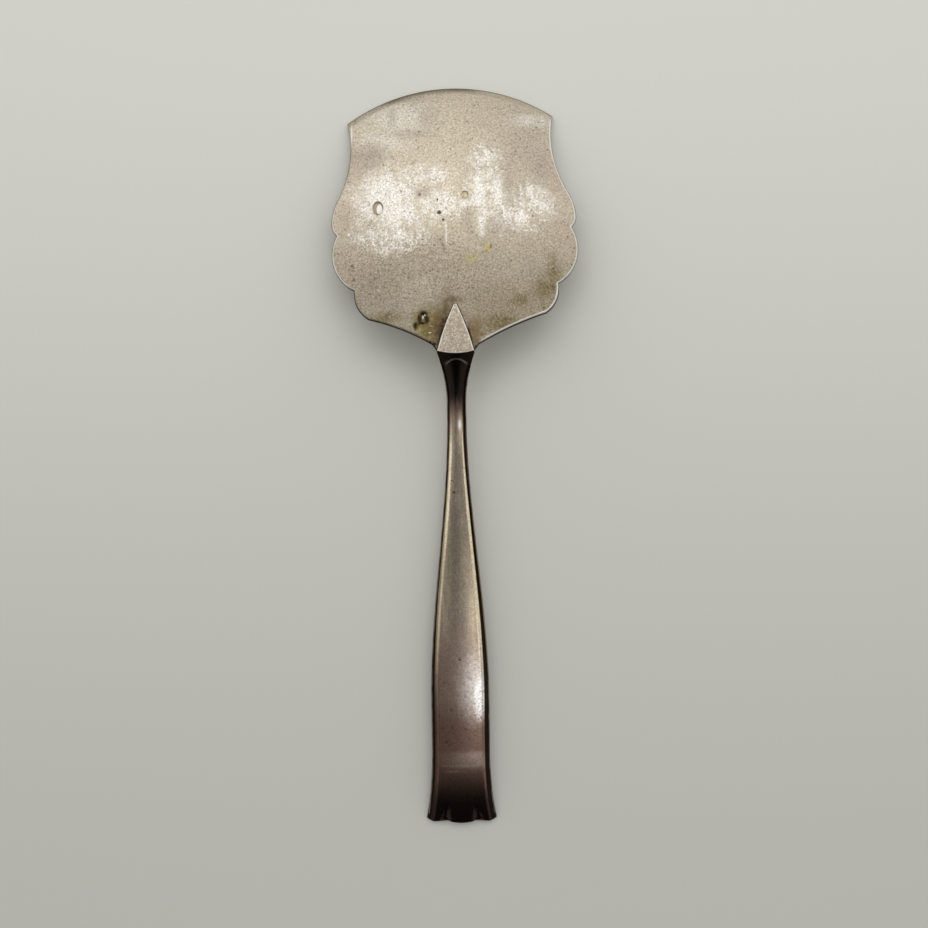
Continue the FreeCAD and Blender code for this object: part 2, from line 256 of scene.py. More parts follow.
# Meshes

def ring_faces(rings, count):
    """Quads between closed rings, with a fan to a pole before the first and after the last."""
    first = np.arange(count)
    following = np.roll(first, -1)
    faces = []
    for ring in range(rings - 1):
        a, b = ring * count, (ring + 1) * count
        faces += np.stack([first + a, following + a, following + b, first + b], 1).tolist()
    start_pole, end_pole = rings * count, rings * count + 1
    last = (rings - 1) * count
    faces += [[start_pole, j, i] for i, j in zip(first.tolist(), following.tolist())]
    faces += [[end_pole, i + last, j + last] for i, j in zip(first.tolist(), following.tolist())]
    return faces


def make_object(name, data):
    """An object in the scene with the given mesh, lamp or camera."""
    piece = bpy.data.objects.new(name, data)
    bpy.context.scene.collection.objects.link(piece)
    return piece


def make_piece(name, points, faces, values):
    """A smooth object from points, with named values kept on its points."""
    mesh = bpy.data.meshes.new(name)
    mesh.from_pydata(points.tolist(), [], faces)
    for key, data in values.items():
        attribute = mesh.attributes.new(key, "FLOAT", "POINT")
        attribute.data.foreach_set("value", np.asarray(data, np.float32))
    mesh.shade_smooth()
    mesh.update()
    return make_object(name, mesh)


def distance_to(points, line):
    """Distance of each plan point to the nearest point of a line of plan points."""
    gaps = points[:, None, :] - line[None, :, :]
    return np.sqrt((gaps ** 2).sum(2)).min(1)


BEVEL_HOLLOW = 1.6


def bevel_drop(distance, bevel):
    """How far a worn bevel lies under the surface at a distance from the edge."""
    width, depth = bevel
    return depth * np.clip(1 - distance / width, 0, 1) ** BEVEL_HOLLOW


# Blade's sheet. The insets are in millimetres from the outline.

BLADE_CENTRE = np.array([0.0, 27.0]) * MM
BACK_RINGS = 104
FACE_RINGS = 22
WALL_RINGS = 3
RIM_INSETS = [1.6, 1.3, 1.05, 0.8, 0.6, 0.45, 0.32, 0.2, 0.1, 0.03, 0.0]
FACE_INSETS = [0.0, 0.06, 0.16, 0.32, 0.8]
EDGE_ZONE = 0.75
FAR = 9 * MM
WALL_DISTANCE = 1 * MM

# Craters in the back, in millimetres: centre across and along, its two radii, and depth
PITS = [(-16.1, 30.9, 1.3, 1.65, 0.16), (2.3, 33.3, 0.85, 0.95, 0.12), (-6.7, 6.9, 1.05, 1.3, 0.32),
        (-7.9, 5.2, 0.7, 0.8, 0.16)]
PIT_FLOOR_SHARE, PIT_LIP_SHARE = 0.6, 1.05


def pit_depth(points):
    """How deep the flat-bottomed craters are at plan points."""
    depth = np.zeros(len(points))
    for across, along, radius_across, radius_along, deepest in PITS:
        gaps = points / MM - (across, along)
        away = np.sqrt(((gaps / (radius_across, radius_along)) ** 2).sum(1))
        pit = deepest * MM * (1 - smooth_step(PIT_FLOOR_SHARE, PIT_LIP_SHARE, away))
        depth = np.maximum(depth, pit)
    return depth


def flat_sheet():
    """The sheet before it is dished: rings round its middle, out over its back, down its edge and
    in over its face. Each point keeps its depth under the back, its distance from the rim, which
    is negative off the back, and its distances from the front arc and the tongue."""
    outline, front_count = blade_outline()
    rays = outline - BLADE_CENTRE
    reach = np.sqrt((rays ** 2).sum(1))
    run = np.roll(outline, -1, 0) - np.roll(outline, 1, 0)
    run /= np.sqrt((run ** 2).sum(1))[:, None]
    squareness = np.abs(rays[:, 0] * run[:, 1] - rays[:, 1] * run[:, 0]) / reach
    front = outline[:front_count + 1]
    sides = outline[front_count:]

    def inset_share(inset):
        return 1 - inset * MM / (reach * squareness)

    inner = inset_share(RIM_INSETS[0])
    shares = [inner * (ring + 1) / BACK_RINGS for ring in range(BACK_RINGS - 1)]
    shares += [inset_share(inset) for inset in RIM_INSETS]
    back_count = len(shares)
    shares += [inset_share(0)] * WALL_RINGS
    shares += [inset_share(inset) for inset in FACE_INSETS]
    face_inner = inset_share(FACE_INSETS[-1])
    shares += [face_inner * ring / FACE_RINGS for ring in range(FACE_RINGS - 1, 0, -1)]

    right_side = tongue_side()
    tongue_line = np.concatenate([right_side, right_side * (-1, 1)])
    plan, depth, rim, front_gap = [], [], [], []
    for ring, share in enumerate(shares):
        points = BLADE_CENTRE + rays * share[:, None]
        if share.min() > EDGE_ZONE:
            from_front, from_sides = distance_to(points, front), distance_to(points, sides)
        else:
            from_front = from_sides = np.full(len(points), FAR)
        gap = np.minimum(from_front, from_sides)
        edge_drop = np.maximum(bevel_drop(from_front, FRONT_BEVEL), bevel_drop(from_sides, SIDE_BEVEL))
        level = face_depth = SHEET_THICKNESS - bevel_drop(gap, FACE_ROUND)
        if ring < back_count:
            level = edge_drop + pit_depth(points)
        elif ring < back_count + WALL_RINGS:
            way_down = (ring - back_count + 1) / (WALL_RINGS + 1)
            level = edge_drop + (face_depth - edge_drop) * way_down
        plan.append(points)
        depth.append(level)
        rim.append(gap if ring < back_count else -WALL_DISTANCE - gap)
        front_gap.append(from_front)
    rings = len(shares)
    plan = np.concatenate(plan + [[BLADE_CENTRE, BLADE_CENTRE]])
    depth = np.concatenate(depth + [[0, SHEET_THICKNESS]])
    values = {
        "rim": np.concatenate(rim + [[FAR, -FAR]]) / MM,
        "front_gap": np.concatenate(front_gap + [[FAR, FAR]]) / MM,
        "tongue_gap": distance_to(plan, tongue_line) / MM,
    }
    points = np.column_stack([plan, np.zeros(len(plan))])
    return points, ring_faces(rings, len(outline)), depth, values


def dish(points, depth):
    """Bends the flat sheet to its dish and lays it on the table."""
    x = points[:, 0] - BLADE_OFFSET
    across = x * math.cos(BLADE_SKEW) + points[:, 1] * math.sin(BLADE_SKEW)
    along = points[:, 1] * math.cos(BLADE_SKEW) - x * math.sin(BLADE_SKEW)
    height = DISH_Z + dish_rise(across, along, depth)
    return np.column_stack([points[:, 0] + AXIS_X, points[:, 1] + CREASE_Y, height])


def make_blade():
    points, faces, depth, values = flat_sheet()
    return make_piece("blade_back", dish(points, depth), faces, values)


# Handle's rule

def handle_width(position):
    root = (NECK_ROOT_WIDTH - NECK_WIDTH) * square_fade(NECK_AT, position)
    grip = (GRIP_WIDTH - NECK_WIDTH) * smooth_step(GRIP_STARTS_AT, GRIP_FULL_AT, position)
    flare = (FLARE_WIDTH - GRIP_WIDTH) * square_growth(FLARE_STARTS_AT, HANDLE_LENGTH, position)
    return NECK_WIDTH + root + grip + flare


def handle_back(position):
    root_height = back_height(0) + TONGUE_BASE_THICKNESS - NECK_ROOT_DROP
    neck_height = END_THICKNESS + END_FALL + GRIP_FALL
    neck = (root_height - neck_height) * square_fade(GRIP_STARTS_AT, position)
    grip = GRIP_FALL * np.clip(position / FLARE_STARTS_AT, 0, 1)
    end = END_FALL * square_growth(FLARE_STARTS_AT, HANDLE_LENGTH, position)
    return neck_height + neck - grip - end


def handle_thickness(position):
    root = (NECK_ROOT_THICKNESS - NECK_THICKNESS) * square_fade(NECK_AT, position)
    grip = (GRIP_THICKNESS - NECK_THICKNESS) * smooth_step(NECK_AT, FLARE_STARTS_AT, position)
    end = (END_THICKNESS - GRIP_THICKNESS) * square_growth(FLARE_STARTS_AT, HANDLE_LENGTH, position)
    return NECK_THICKNESS + root + grip + end


def handle_crown(position):
    root = (ROOT_CROWN - NECK_CROWN) * square_fade(GRIP_STARTS_AT, position)
    grip = (GRIP_CROWN - NECK_CROWN) * smooth_step(GRIP_STARTS_AT, GRIP_FULL_AT, position)
    return NECK_CROWN + root + grip


def end_depth(across):
    """How far the three-lobed end falls short of the handle's length, across its width."""
    x = np.abs(across)
    notch_x, notch = END_NOTCH[0] / 2, END_NOTCH[1]
    lobe_x, lobe = SIDE_LOBE[0] / 2, SIDE_LOBE[1]
    corner_x = FLARE_WIDTH / 2
    middle = notch * (x / notch_x) ** 2
    rising = notch + (lobe - notch) * (1 - ((lobe_x - x) / (lobe_x - notch_x)) ** 2)
    falling = lobe + (END_CORNER_DEPTH - lobe) * ((x - lobe_x) / (corner_x - lobe_x)) ** 2
    return np.where(x < notch_x, middle, np.where(x < lobe_x, rising, falling))


def flute_depth(across, position):
    """Depth of the two grooves that widen towards the end, between the lobes."""
    share = np.clip((position - HANDLE_LENGTH + FLUTE_LENGTH) / FLUTE_LENGTH, 0, 1.1)
    middle = FLUTE_START_WIDTH / 2 + (END_NOTCH[0] - FLUTE_START_WIDTH) / 2 * share
    half_width = np.maximum(FLUTE_HALF_WIDTH * share, 0.01 * MM)
    hollow = np.clip(1 - ((np.abs(across) - middle) / half_width) ** 2, 0, 1)
    return FLUTE_DEPTH * share * hollow


CROWN_POINTS = 13
EDGE_ROUND, FOOT_ROUND, TOP_ROUND, SHOULDER_ROUND = 0.12 * MM, 0.06 * MM, 0.1 * MM, 0.2 * MM


def half_section(position):
    """Corner points of the section's right half from the middle of its front to the middle of its
    back, as x and z for each position, with how much each corner is rounded."""
    half = handle_width(position) / 2
    back = handle_back(position)
    front = back - handle_thickness(position)
    wall_run = NECK_WALL_RUN + (END_WALL_RUN - NECK_WALL_RUN) * smooth_step(
        GRIP_STARTS_AT, FLARE_STARTS_AT, position)
    crown = handle_crown(position)
    edge = back - crown
    wall_foot = half - RIM_WIDTH
    wall_top = wall_foot - wall_run
    crown_x = wall_top - SHOULDER_RUN
    corners = [
        (half * 0, front, 0), (half, front, EDGE_ROUND), (half, front + RIM_THICKNESS, EDGE_ROUND),
        (wall_foot, front + RIM_THICKNESS + RIM_SLOPE, FOOT_ROUND),
        (wall_top, edge - SHOULDER_FALL, TOP_ROUND), (crown_x, edge, SHOULDER_ROUND),
    ]
    for step in range(1, CROWN_POINTS):
        x = crown_x * (1 - step / CROWN_POINTS)
        corners.append((x, back - crown * (x / crown_x) ** 2, 0))
    return corners


ROUND_STEPS = 4
LONGEST_CUT = 0.45


def rounded(corners):
    """The half section's points, each rounded corner as a short curve."""
    points = []
    for i, (x, z, cut) in enumerate(corners):
        here = np.stack([x, z], -1)
        if cut == 0:
            points.append(here)
            continue
        before = np.stack(corners[i - 1][:2], -1)
        after = np.stack(corners[i + 1][:2], -1)

        def towards(other):
            gap = other - here
            length = np.sqrt((gap ** 2).sum(-1, keepdims=True))
            return here + gap / length * np.minimum(cut, length * LONGEST_CUT)

        start, end = towards(before), towards(after)
        for step in range(ROUND_STEPS + 1):
            t = step / ROUND_STEPS
            points.append(start * (1 - t) ** 2 + here * 2 * t * (1 - t) + end * t ** 2)
    return points


STATION_SPACING = 0.27 * MM
END_WARP = 9 * MM
FLUTE_FADE = 0.4 * MM


def handle_bar():
    """The neck and grip as rings of section points, and each point's place along the handle."""
    count = round(HANDLE_LENGTH / STATION_SPACING)
    position = np.linspace(0, HANDLE_LENGTH, count)
    right = rounded(half_section(position))
    back = np.stack([0 * position, handle_back(position)], -1)
    left = [np.stack([-p[:, 0], p[:, 1]], -1) for p in right[:0:-1]]
    loop = np.stack(right + [back] + left, 1)
    across = loop[:, :, 0]
    height = loop[:, :, 1]
    warp = smooth_step(HANDLE_LENGTH - END_WARP, HANDLE_LENGTH, position)[:, None]
    along = position[:, None] - warp * end_depth(across)
    middle = (handle_back(position) - handle_thickness(position) / 2)[:, None]
    on_back = smooth_step(0, FLUTE_FADE, height - middle)
    height = height - on_back * flute_depth(across, position[:, None])
    return across, along, height


CROWN_SHARE = 0.02
END_PANEL, NO_CREASE = -2, -9


def panel_distance():
    """Each section point's distance in millimetres inside the back panel's edge, where the grip is
    full, or outside it as a negative value."""
    right = rounded(half_section(np.array([GRIP_FULL_AT])))
    line = np.array([point[0] for point in right])
    steps = np.sqrt((np.diff(line, axis=0) ** 2).sum(1))
    run = np.concatenate([[0], np.cumsum(steps)])
    panel_edge = len(right) - CROWN_POINTS + 1 - (ROUND_STEPS + 1) // 2 - 1
    distance = (run - run[panel_edge]) / MM
    crown = [distance[-1] + handle_width(GRIP_FULL_AT) / MM * CROWN_SHARE]
    return np.concatenate([distance, crown, distance[:0:-1]])


def make_grip():
    across, along, height = handle_bar()
    stations, count = across.shape
    middles = [[0, 0], along[[0, -1]].mean(1), height[[0, -1]].mean(1)]
    x, y, z = (np.append(values, ends) for values, ends in zip((across, along, height), middles))
    points = np.column_stack([x + AXIS_X, CREASE_Y - y, z])
    panel = np.concatenate([np.tile(panel_distance(), stations), [END_PANEL, END_PANEL]])
    values = {"panel": panel, "crease": np.full(len(panel), NO_CREASE)}
    return make_piece("handle_grip", points, ring_faces(stations, count), values)


# Tongue

RIDGE_HEIGHT = back_height(0) + TONGUE_BASE_THICKNESS
TONGUE_SLOPE = (RIDGE_HEIGHT - back_height(TONGUE_LENGTH) - TONGUE_TIP_THICKNESS) / TONGUE_LENGTH
TONGUE_SINK = 0.5 * MM
TONGUE_FOOT = 3.2 * MM
FOOT_SLOPE = 0.55
EDGE_WEAR = 0.22 * MM
MOST_EDGE_WEAR = 0.4
LEAST_SIDE = 0.3 * MM
CREASE_WEAR = 0.06 * MM
BOW_ENDS_AT = 3 * MM
FACET_ROWS = [-2.4, -2.0, -1.6, -1.2, -0.9, -0.6, -0.4, -0.25, -0.14, -0.08, -0.04]
CREASE_ROWS = [0, 0.04, 0.08]


def tongue_top(across, row):
    """Plan place and height of the tongue's top for a row of points: the flat in front of the
    crease, and behind it the steep facet under the bowed ridge."""
    bow = CREASE_BOW * (1 - np.minimum(np.abs(across) / (TONGUE_WIDTH / 2), 1) ** 2)
    along = row - bow * (1 - smooth_step(0, BOW_ENDS_AT, row))
    ridge = RIDGE_HEIGHT + TONGUE_SLOPE * bow
    flat = RIDGE_HEIGHT - TONGUE_SLOPE * along
    facet = ridge + FACET_SLOPE * row
    height = (flat + facet) / 2 - np.sqrt((flat - facet) ** 2 / 4 + CREASE_WEAR ** 2)
    return along, height


def tongue_rows():
    """Rows across the tongue, from the facet's foot to the tip, with each row's half width."""
    narrowing = (TONGUE_WIDTH - FACET_WIDTH) / 2 / FACET_LENGTH
    rows = [(row * MM, TONGUE_WIDTH / 2 + narrowing * row * MM) for row in FACET_ROWS]
    rows += [(row * MM, TONGUE_WIDTH / 2) for row in CREASE_ROWS]
    return rows + [(along, across) for across, along in tongue_side()[1:]]


TOP_POINTS = 25
EDGE_STEPS = 4


def tongue_foot(row):
    """Height of the sunken underside: inside the blade, and behind the crease inside the neck."""
    if row >= 0:
        return back_height(row) - TONGUE_SINK
    return RIDGE_HEIGHT - TONGUE_FOOT + FOOT_SLOPE * row


def make_tongue():
    """The tongue and its facet, sunk into the blade's back and the neck."""
    turns = np.linspace(0, math.pi / 2, EDGE_STEPS + 1)[:0:-1]
    points, panel, crease = [], [], []
    rows = tongue_rows()
    for row, half in rows:
        wear = min(EDGE_WEAR, half * MOST_EDGE_WEAR)
        top = np.linspace(-half + wear, half - wear, TOP_POINTS)
        along, height = tongue_top(top, row)
        foot = tongue_foot(row)
        edge_height = max(height[0], foot + LEAST_SIDE)
        height = np.maximum(height, edge_height)
        left_x = -half + wear * (1 - np.sin(turns))
        left_z = edge_height - wear * (1 - np.cos(turns))
        left = [(-half, along[0], foot)]
        left += [(x, along[0], z) for x, z in zip(left_x, left_z)]
        middle = list(zip(top, along, height))
        right = [(-x, y, z) for x, y, z in left[::-1]]
        points.append(left + middle + right)
        inside = (half - np.abs(top)) / MM
        sides = np.linspace(-1.0, 0.0, len(left))
        panel.append(np.concatenate([sides, inside, sides[::-1]]))
        crease.append(np.full(len(panel[-1]), row / MM))
    count = len(points[0])
    points = np.array(points).reshape(-1, 3)
    ends = points.reshape(len(rows), count, 3)[[0, -1]].mean(1)
    points = np.concatenate([points, ends])
    points[:, 0] += AXIS_X
    points[:, 1] += CREASE_Y
    values = {"panel": np.concatenate(panel + [[-1, -1]]), "crease": np.concatenate(crease + [[-3, 9]])}
    return make_piece("tongue", points, ring_faces(len(rows), count), values)


# Nodes

def add_node(tree, kind, inputs=None, **settings):
    """A node with its settings, its plain values and its links from other nodes' outputs."""
    node = tree.nodes.new(kind)
    for name, value in settings.items():
        setattr(node, name, value)
    for key, value in (inputs or {}).items():
        if isinstance(value, Value):
            value = value.socket
        if isinstance(value, bpy.types.NodeSocket):
            tree.links.new(value, node.inputs[key])
        else:
            node.inputs[key].default_value = value
    return node


def output_of(tree, kind, inputs=None, output=0, **settings):
    """The first or the named output of a new node."""
    return Value(tree, add_node(tree, kind, inputs, **settings).outputs[output])


class Value:
    """One node's output. Where it is a number or a mask, it takes arithmetic."""

    def __init__(self, tree, socket):
        self.tree = tree
        self.socket = socket

    def math(self, operation, *numbers):
        return output_of(self.tree, "ShaderNodeMath", dict(enumerate(numbers)), operation=operation)

    def __add__(self, other):
        return self.math("ADD", self, other)

    def __sub__(self, other):
        return self.math("SUBTRACT", self, other)

    def __rsub__(self, other):
        return self.math("SUBTRACT", other, self)

    def __mul__(self, other):
        return self.math("MULTIPLY", self, other)

    def __rtruediv__(self, other):
        return self.math("DIVIDE", other, self)

    def __or__(self, other):
        """The larger of two masks."""
        return self.math("MAXIMUM", self, other)

    def __abs__(self):
        return self.math("ABSOLUTE", self)

    def ramp(self, low, high, to_low=0.0, to_high=1.0):
        """This value eased from to_low at low to to_high at high."""
        return output_of(self.tree, "ShaderNodeMapRange", {
            "Value": self, "From Min": low, "From Max": high, "To Min": to_low, "To Max": to_high},
            interpolation_type="SMOOTHSTEP")

    def fade(self, low, high):
        """1 up to low, eased to 0 at high."""
        return self.ramp(low, high, 1.0, 0.0)


def axes(tree, vector):
    """A vector's three numbers."""
    split = add_node(tree, "ShaderNodeSeparateXYZ", {"Vector": vector})
    return [Value(tree, socket) for socket in split.outputs]


def mixed(mask, under, over):
    """A colour where a mask is 0, and another where it is 1."""
    return output_of(mask.tree, "ShaderNodeMix", {0: mask, 6: under, 7: over}, 2, data_type="RGBA")


def noise(tree, inputs):
    """Soft noise from 0 to 1, with a fourth dimension where W is given."""
    dimensions = "4D" if "W" in inputs else "3D"
    return output_of(tree, "ShaderNodeTexNoise", inputs, noise_dimensions=dimensions)


def new_group(name, tree_kind, inputs, outputs, output_kind):
    """A node group with named inputs, each given with its default value or its kind, and named
    outputs; and what its inputs give."""
    group = bpy.data.node_groups.new(name, tree_kind)
    for key, value in inputs.items():
        kind = "Vector" if isinstance(value, tuple) else "Float"
        if isinstance(value, str):
            kind = value
        socket = group.interface.new_socket(key, in_out="INPUT", socket_type="NodeSocket" + kind)
        if kind != value:
            socket.default_value = value
    for key in outputs:
        group.interface.new_socket(key, in_out="OUTPUT", socket_type="NodeSocket" + output_kind)
    given = group.nodes.new("NodeGroupInput").outputs
    return group, {key: Value(group, given[key]) for key in inputs}


def put_out(group, values):
    """Ends a group by joining values to its named outputs."""
    add_node(group, "NodeGroupOutput", values)
    return group


# Geometry Nodes

def new_geometry_tree(name, inputs):
    """A Geometry Nodes tree with named inputs beside its geometry and material."""
    inputs = {"Geometry": "Geometry", **inputs, "Material": "Material"}
    return new_group(name, "GeometryNodeTree", inputs, ["Geometry"], "Geometry")


def finish_tree(tree, given, geometry):
    """Ends a tree with Realize Instances, smooth shading and Set Material."""
    real = output_of(tree, "GeometryNodeRealizeInstances", {"Geometry": geometry})
    smooth = output_of(tree, "GeometryNodeSetShadeSmooth", {"Geometry": real})
    painted = output_of(tree, "GeometryNodeSetMaterial", {
        "Geometry": smooth, "Material": given["Material"]})
    return put_out(tree, {"Geometry": painted})


def grown(name, tree, mesh, values):
    """The plain mesh that a tree grows on a mesh with the given input values."""
    seed = make_object(name + "_path", mesh)
    modifier = seed.modifiers.new(name, "NODES")
    modifier.node_group = tree
    for item in tree.interface.items_tree:
        if item.in_out == "INPUT" and item.name in values:
            modifier[item.identifier] = values[item.name]
    graph = bpy.context.evaluated_depsgraph_get()
    result = bpy.data.meshes.new_from_object(seed.evaluated_get(graph))
    seed.modifiers.clear()
    bpy.data.objects.remove(seed)
    result.name = name
    return make_object(name, result)


def line_mesh(name, lines):
    """A mesh of open lines, each a list of points."""
    points, edges = [], []
    for line in lines:
        first = len(points)
        points += [tuple(point) for point in line]
        edges += [(i, i + 1) for i in range(first, len(points) - 1)]
    mesh = bpy.data.meshes.new(name)
    mesh.from_pydata(points, edges, [])
    return mesh


def spaced_path(tree, given, spacing):
    """The given lines with points at an even spacing."""
    path = output_of(tree, "GeometryNodeMeshToCurve", {"Mesh": given["Geometry"]})
    return output_of(tree, "GeometryNodeResampleCurve", {"Curve": path, "Length": spacing}, mode="LENGTH")


BEAD_SHAPE = (0.85, 1.15, 0.8)
SEAM_SPACING = 0.15 * MM
SEAM_LUMPS_PER_METRE = 900.0
THINNEST_SEAM = 0.5


def milled_rim_tree():
    """Small beads set side by side along the handle's rims."""
    tree, given = new_geometry_tree("milled_rim", {"Pitch": 0.0, "Bead Radius": 0.0})
    path = spaced_path(tree, given, given["Pitch"])
    bead = output_of(tree, "GeometryNodeMeshIcoSphere", {
        "Radius": given["Bead Radius"], "Subdivisions": 2})
    tangent = output_of(tree, "GeometryNodeInputTangent")
    turned = output_of(tree, "FunctionNodeAlignEulerToVector", {"Vector": tangent}, axis="Y")
    placed = output_of(tree, "GeometryNodeInstanceOnPoints", {
        "Points": path, "Instance": bead, "Rotation": turned, "Scale": BEAD_SHAPE})
    return finish_tree(tree, given, placed)


def solder_line_tree():
    """A thin uneven line of solder and grime along a path."""
    tree, given = new_geometry_tree("solder_line", {"Line Radius": 0.0, "Unevenness": 0.0})
    path = spaced_path(tree, given, SEAM_SPACING)
    lumps = noise(tree, {"Scale": SEAM_LUMPS_PER_METRE, "Detail": 2.0})
    swell = lumps * given["Unevenness"] + THINNEST_SEAM
    ring = output_of(tree, "GeometryNodeCurvePrimitiveCircle", {
        "Resolution": 8, "Radius": given["Line Radius"]})
    tube = output_of(tree, "GeometryNodeCurveToMesh", {
        "Curve": path, "Profile Curve": ring, "Scale": swell, "Fill Caps": True})
    return finish_tree(tree, given, tube)


def casting_tree():
    """The grip and the tongue as one casting."""
    tree, given = new_geometry_tree("casting", {"Tongue": "Object"})
    tongue = output_of(tree, "GeometryNodeObjectInfo", {"Object": given["Tongue"]}, "Geometry")
    joined = add_node(tree, "GeometryNodeMeshBoolean", operation="UNION", solver="MANIFOLD")
    for part in (given["Geometry"], tongue):
        tree.links.new(part.socket, joined.inputs["Mesh 2"])
    return finish_tree(tree, given, joined.outputs["Mesh"])


# Solder line and rim beads

RIM_BEAD_PITCH = 0.42 * MM
RIM_BEAD_RADIUS = 0.2 * MM
RIM_BEAD_INSET = 0.17 * MM
RIM_BEADS_FROM = 4 * MM
RIM_BEADS_TO = 99 * MM
RIM_BEAD_SINK = 0.04 * MM
RIM_LINE_POINTS = 200
SOLDER_RADIUS = 0.16 * MM
SOLDER_DEPTH = 0.03 * MM


def rim_lines():
    """The middle lines of the two rims."""
    position = np.linspace(RIM_BEADS_FROM, RIM_BEADS_TO, RIM_LINE_POINTS)
    height = handle_back(position) - handle_thickness(position) + RIM_THICKNESS - RIM_BEAD_SINK
    across = handle_width(position) / 2 - RIM_BEAD_INSET
    return [np.column_stack([side * across + AXIS_X, CREASE_Y - position, height])
            for side in (-1, 1)]


def solder_line():
    """The tongue's outline where it meets the blade's back."""
    right = tongue_side()
    plan = np.concatenate([right, right[::-1] * (-1, 1)])
    flat = np.column_stack([plan, np.zeros(len(plan))])
    return [dish(flat, np.full(len(plan), SOLDER_DEPTH))]


blade = make_blade()
grip = make_grip()
tongue = make_tongue()
casting = grown("handle_casting", casting_tree(), grip.data, {"Tongue": tongue})
for part in (grip, tongue):
    bpy.data.objects.remove(part)
beads = grown("rim_beads", milled_rim_tree(), line_mesh("rim_lines", rim_lines()),
              {"Pitch": RIM_BEAD_PITCH, "Bead Radius": RIM_BEAD_RADIUS})
# The dark seam round the tongue: solder and grime, and also painted shade in the angle.
solder = grown("solder_seam", solder_line_tree(), line_mesh("seam", solder_line()),
               {"Line Radius": SOLDER_RADIUS, "Unevenness": 1.0})
for piece, slot in ((blade, "blade_silver"), (casting, "handle_silver"),
                    (beads, "handle_silver"), (solder, "handle_silver")):
    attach(piece, "root")
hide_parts("blade")
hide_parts("handle")


# Camera: straight down on the table, as in the photo

CAMERA_HEIGHT = 202.6 * MM
CAMERA_PLACE = (1.41 * MM, -1.90 * MM)
CAMERA_LEAN = math.radians(-0.72)
VIEW_ANGLE = 2 * math.atan(0.5)


def add_camera():
    camera = make_object("camera", bpy.data.cameras.new("camera"))
    camera.data.sensor_fit = "HORIZONTAL"
    camera.data.angle = VIEW_ANGLE
    camera.data.clip_start = 0.01
    camera.location = (*CAMERA_PLACE, CAMERA_HEIGHT)
    camera.rotation_euler = (0, 0, CAMERA_LEAN)
    bpy.context.scene.camera = camera


# Paper colours: darker near the camera's lower edge as painted shade, lighter towards the window.
PAPER_NEAR_SHADED = (0.72, 0.712, 0.655)
PAPER_FAR_LIT = (0.93, 0.93, 0.85)
PAPER_TURN = (-0.1, 0.11)
PAPER_HALF = 1.5


def add_floor():
    """The sheet of paper, with painted shade: a little darker towards the camera's lower edge, away from
    the window.
    """
    corners = [(x * PAPER_HALF, y * PAPER_HALF, 0) for x, y in ((-1, -1), (1, -1), (1, 1), (-1, 1))]
    mesh = bpy.data.meshes.new("floor")
    mesh.from_pydata(corners, [], [(0, 1, 2, 3)])
    floor = make_object("floor", mesh)
    material = bpy.data.materials.new("floor_paper")
    material.use_nodes = True
    tree = material.node_tree
    shader = tree.nodes["Principled BSDF"]
    farther = axes(tree, output_of(tree, "ShaderNodeTexCoord", output="Object"))[1].ramp(*PAPER_TURN)
    tone = mixed(farther, (*PAPER_NEAR_SHADED, 1), (*PAPER_FAR_LIT, 1))
    tree.links.new(tone.socket, shader.inputs["Base Color"])
    shader.inputs["Roughness"].default_value = 0.8
    mesh.materials.append(material)


# The room's brightness by the way that one looks: away from the window (-1) to towards it (1)
ROOM_LIGHT = [(-0.75, 0.02), (-0.5, 0.06), (-0.36, 0.2), (-0.15, 0.42), (0.0, 0.42), (0.3, 0.46),
              (0.5, 0.6), (0.75, 0.6), (1.0, 0.3)]
SIDE_LIGHT = [(0.35, 0.0), (0.6, 0.4), (1.0, 0.3)]


def light_ramp(value, stops):
    """A brightness read from stops between -1 and 1."""
    node = add_node(value.tree, "ShaderNodeValToRGB", {"Fac": value * 0.5 + 0.5})
    elements = node.color_ramp.elements
    while len(elements) < len(stops):
        elements.new(0.5)
    for element, (at, level) in zip(elements, stops):
        element.position = at / 2 + 0.5
        element.color = (level, level, level, 1)
    return Value(value.tree, node.outputs["Color"])


def add_studio():
    """A plain room: brighter towards the window and at both sides, dark away from the window."""
    world = bpy.data.worlds.new("studio")
    world.use_nodes = True
    tree = world.node_tree
    way = output_of(tree, "ShaderNodeTexCoord", output="Generated")
    sideways, towards_window, _ = axes(tree, way)
    light = light_ramp(towards_window, ROOM_LIGHT) + light_ramp(abs(sideways), SIDE_LIGHT)
    tree.links.new(light.socket, tree.nodes["Background"].inputs["Color"])
    bpy.context.scene.world = world


def add_lamp(name, place, size, power):
    """A rectangular lamp that looks at the middle of the table."""
    lamp = make_object(name, bpy.data.lights.new(name, "AREA"))
    lamp.data.shape = "RECTANGLE"
    lamp.data.size, lamp.data.size_y = size
    lamp.data.energy = power
    lamp.location = place
    lamp.rotation_euler = (-Vector(place)).to_track_quat("-Z", "Y").to_euler()


# Shader node groups

def new_shader_group(name, inputs, outputs):
    return new_group(name, "ShaderNodeTree", inputs, outputs, "Float")


def cloud_group():
    """Soft uneven patches: 0 where the noise is under Low and 1 where it is over High."""
    group, given = new_shader_group(
        "cloud", {"Vector": (0, 0, 0), "Size": 5.0, "Detail": 3.0, "Low": 0.4, "High": 0.6, "Seed": 0.0},
        ["Mask"])
    lumps = noise(group, {
        "Vector": given["Vector"], "Scale": 1 / given["Size"], "Detail": given["Detail"],
        "W": given["Seed"]})
    return put_out(group, {"Mask": lumps.ramp(given["Low"], given["High"])})


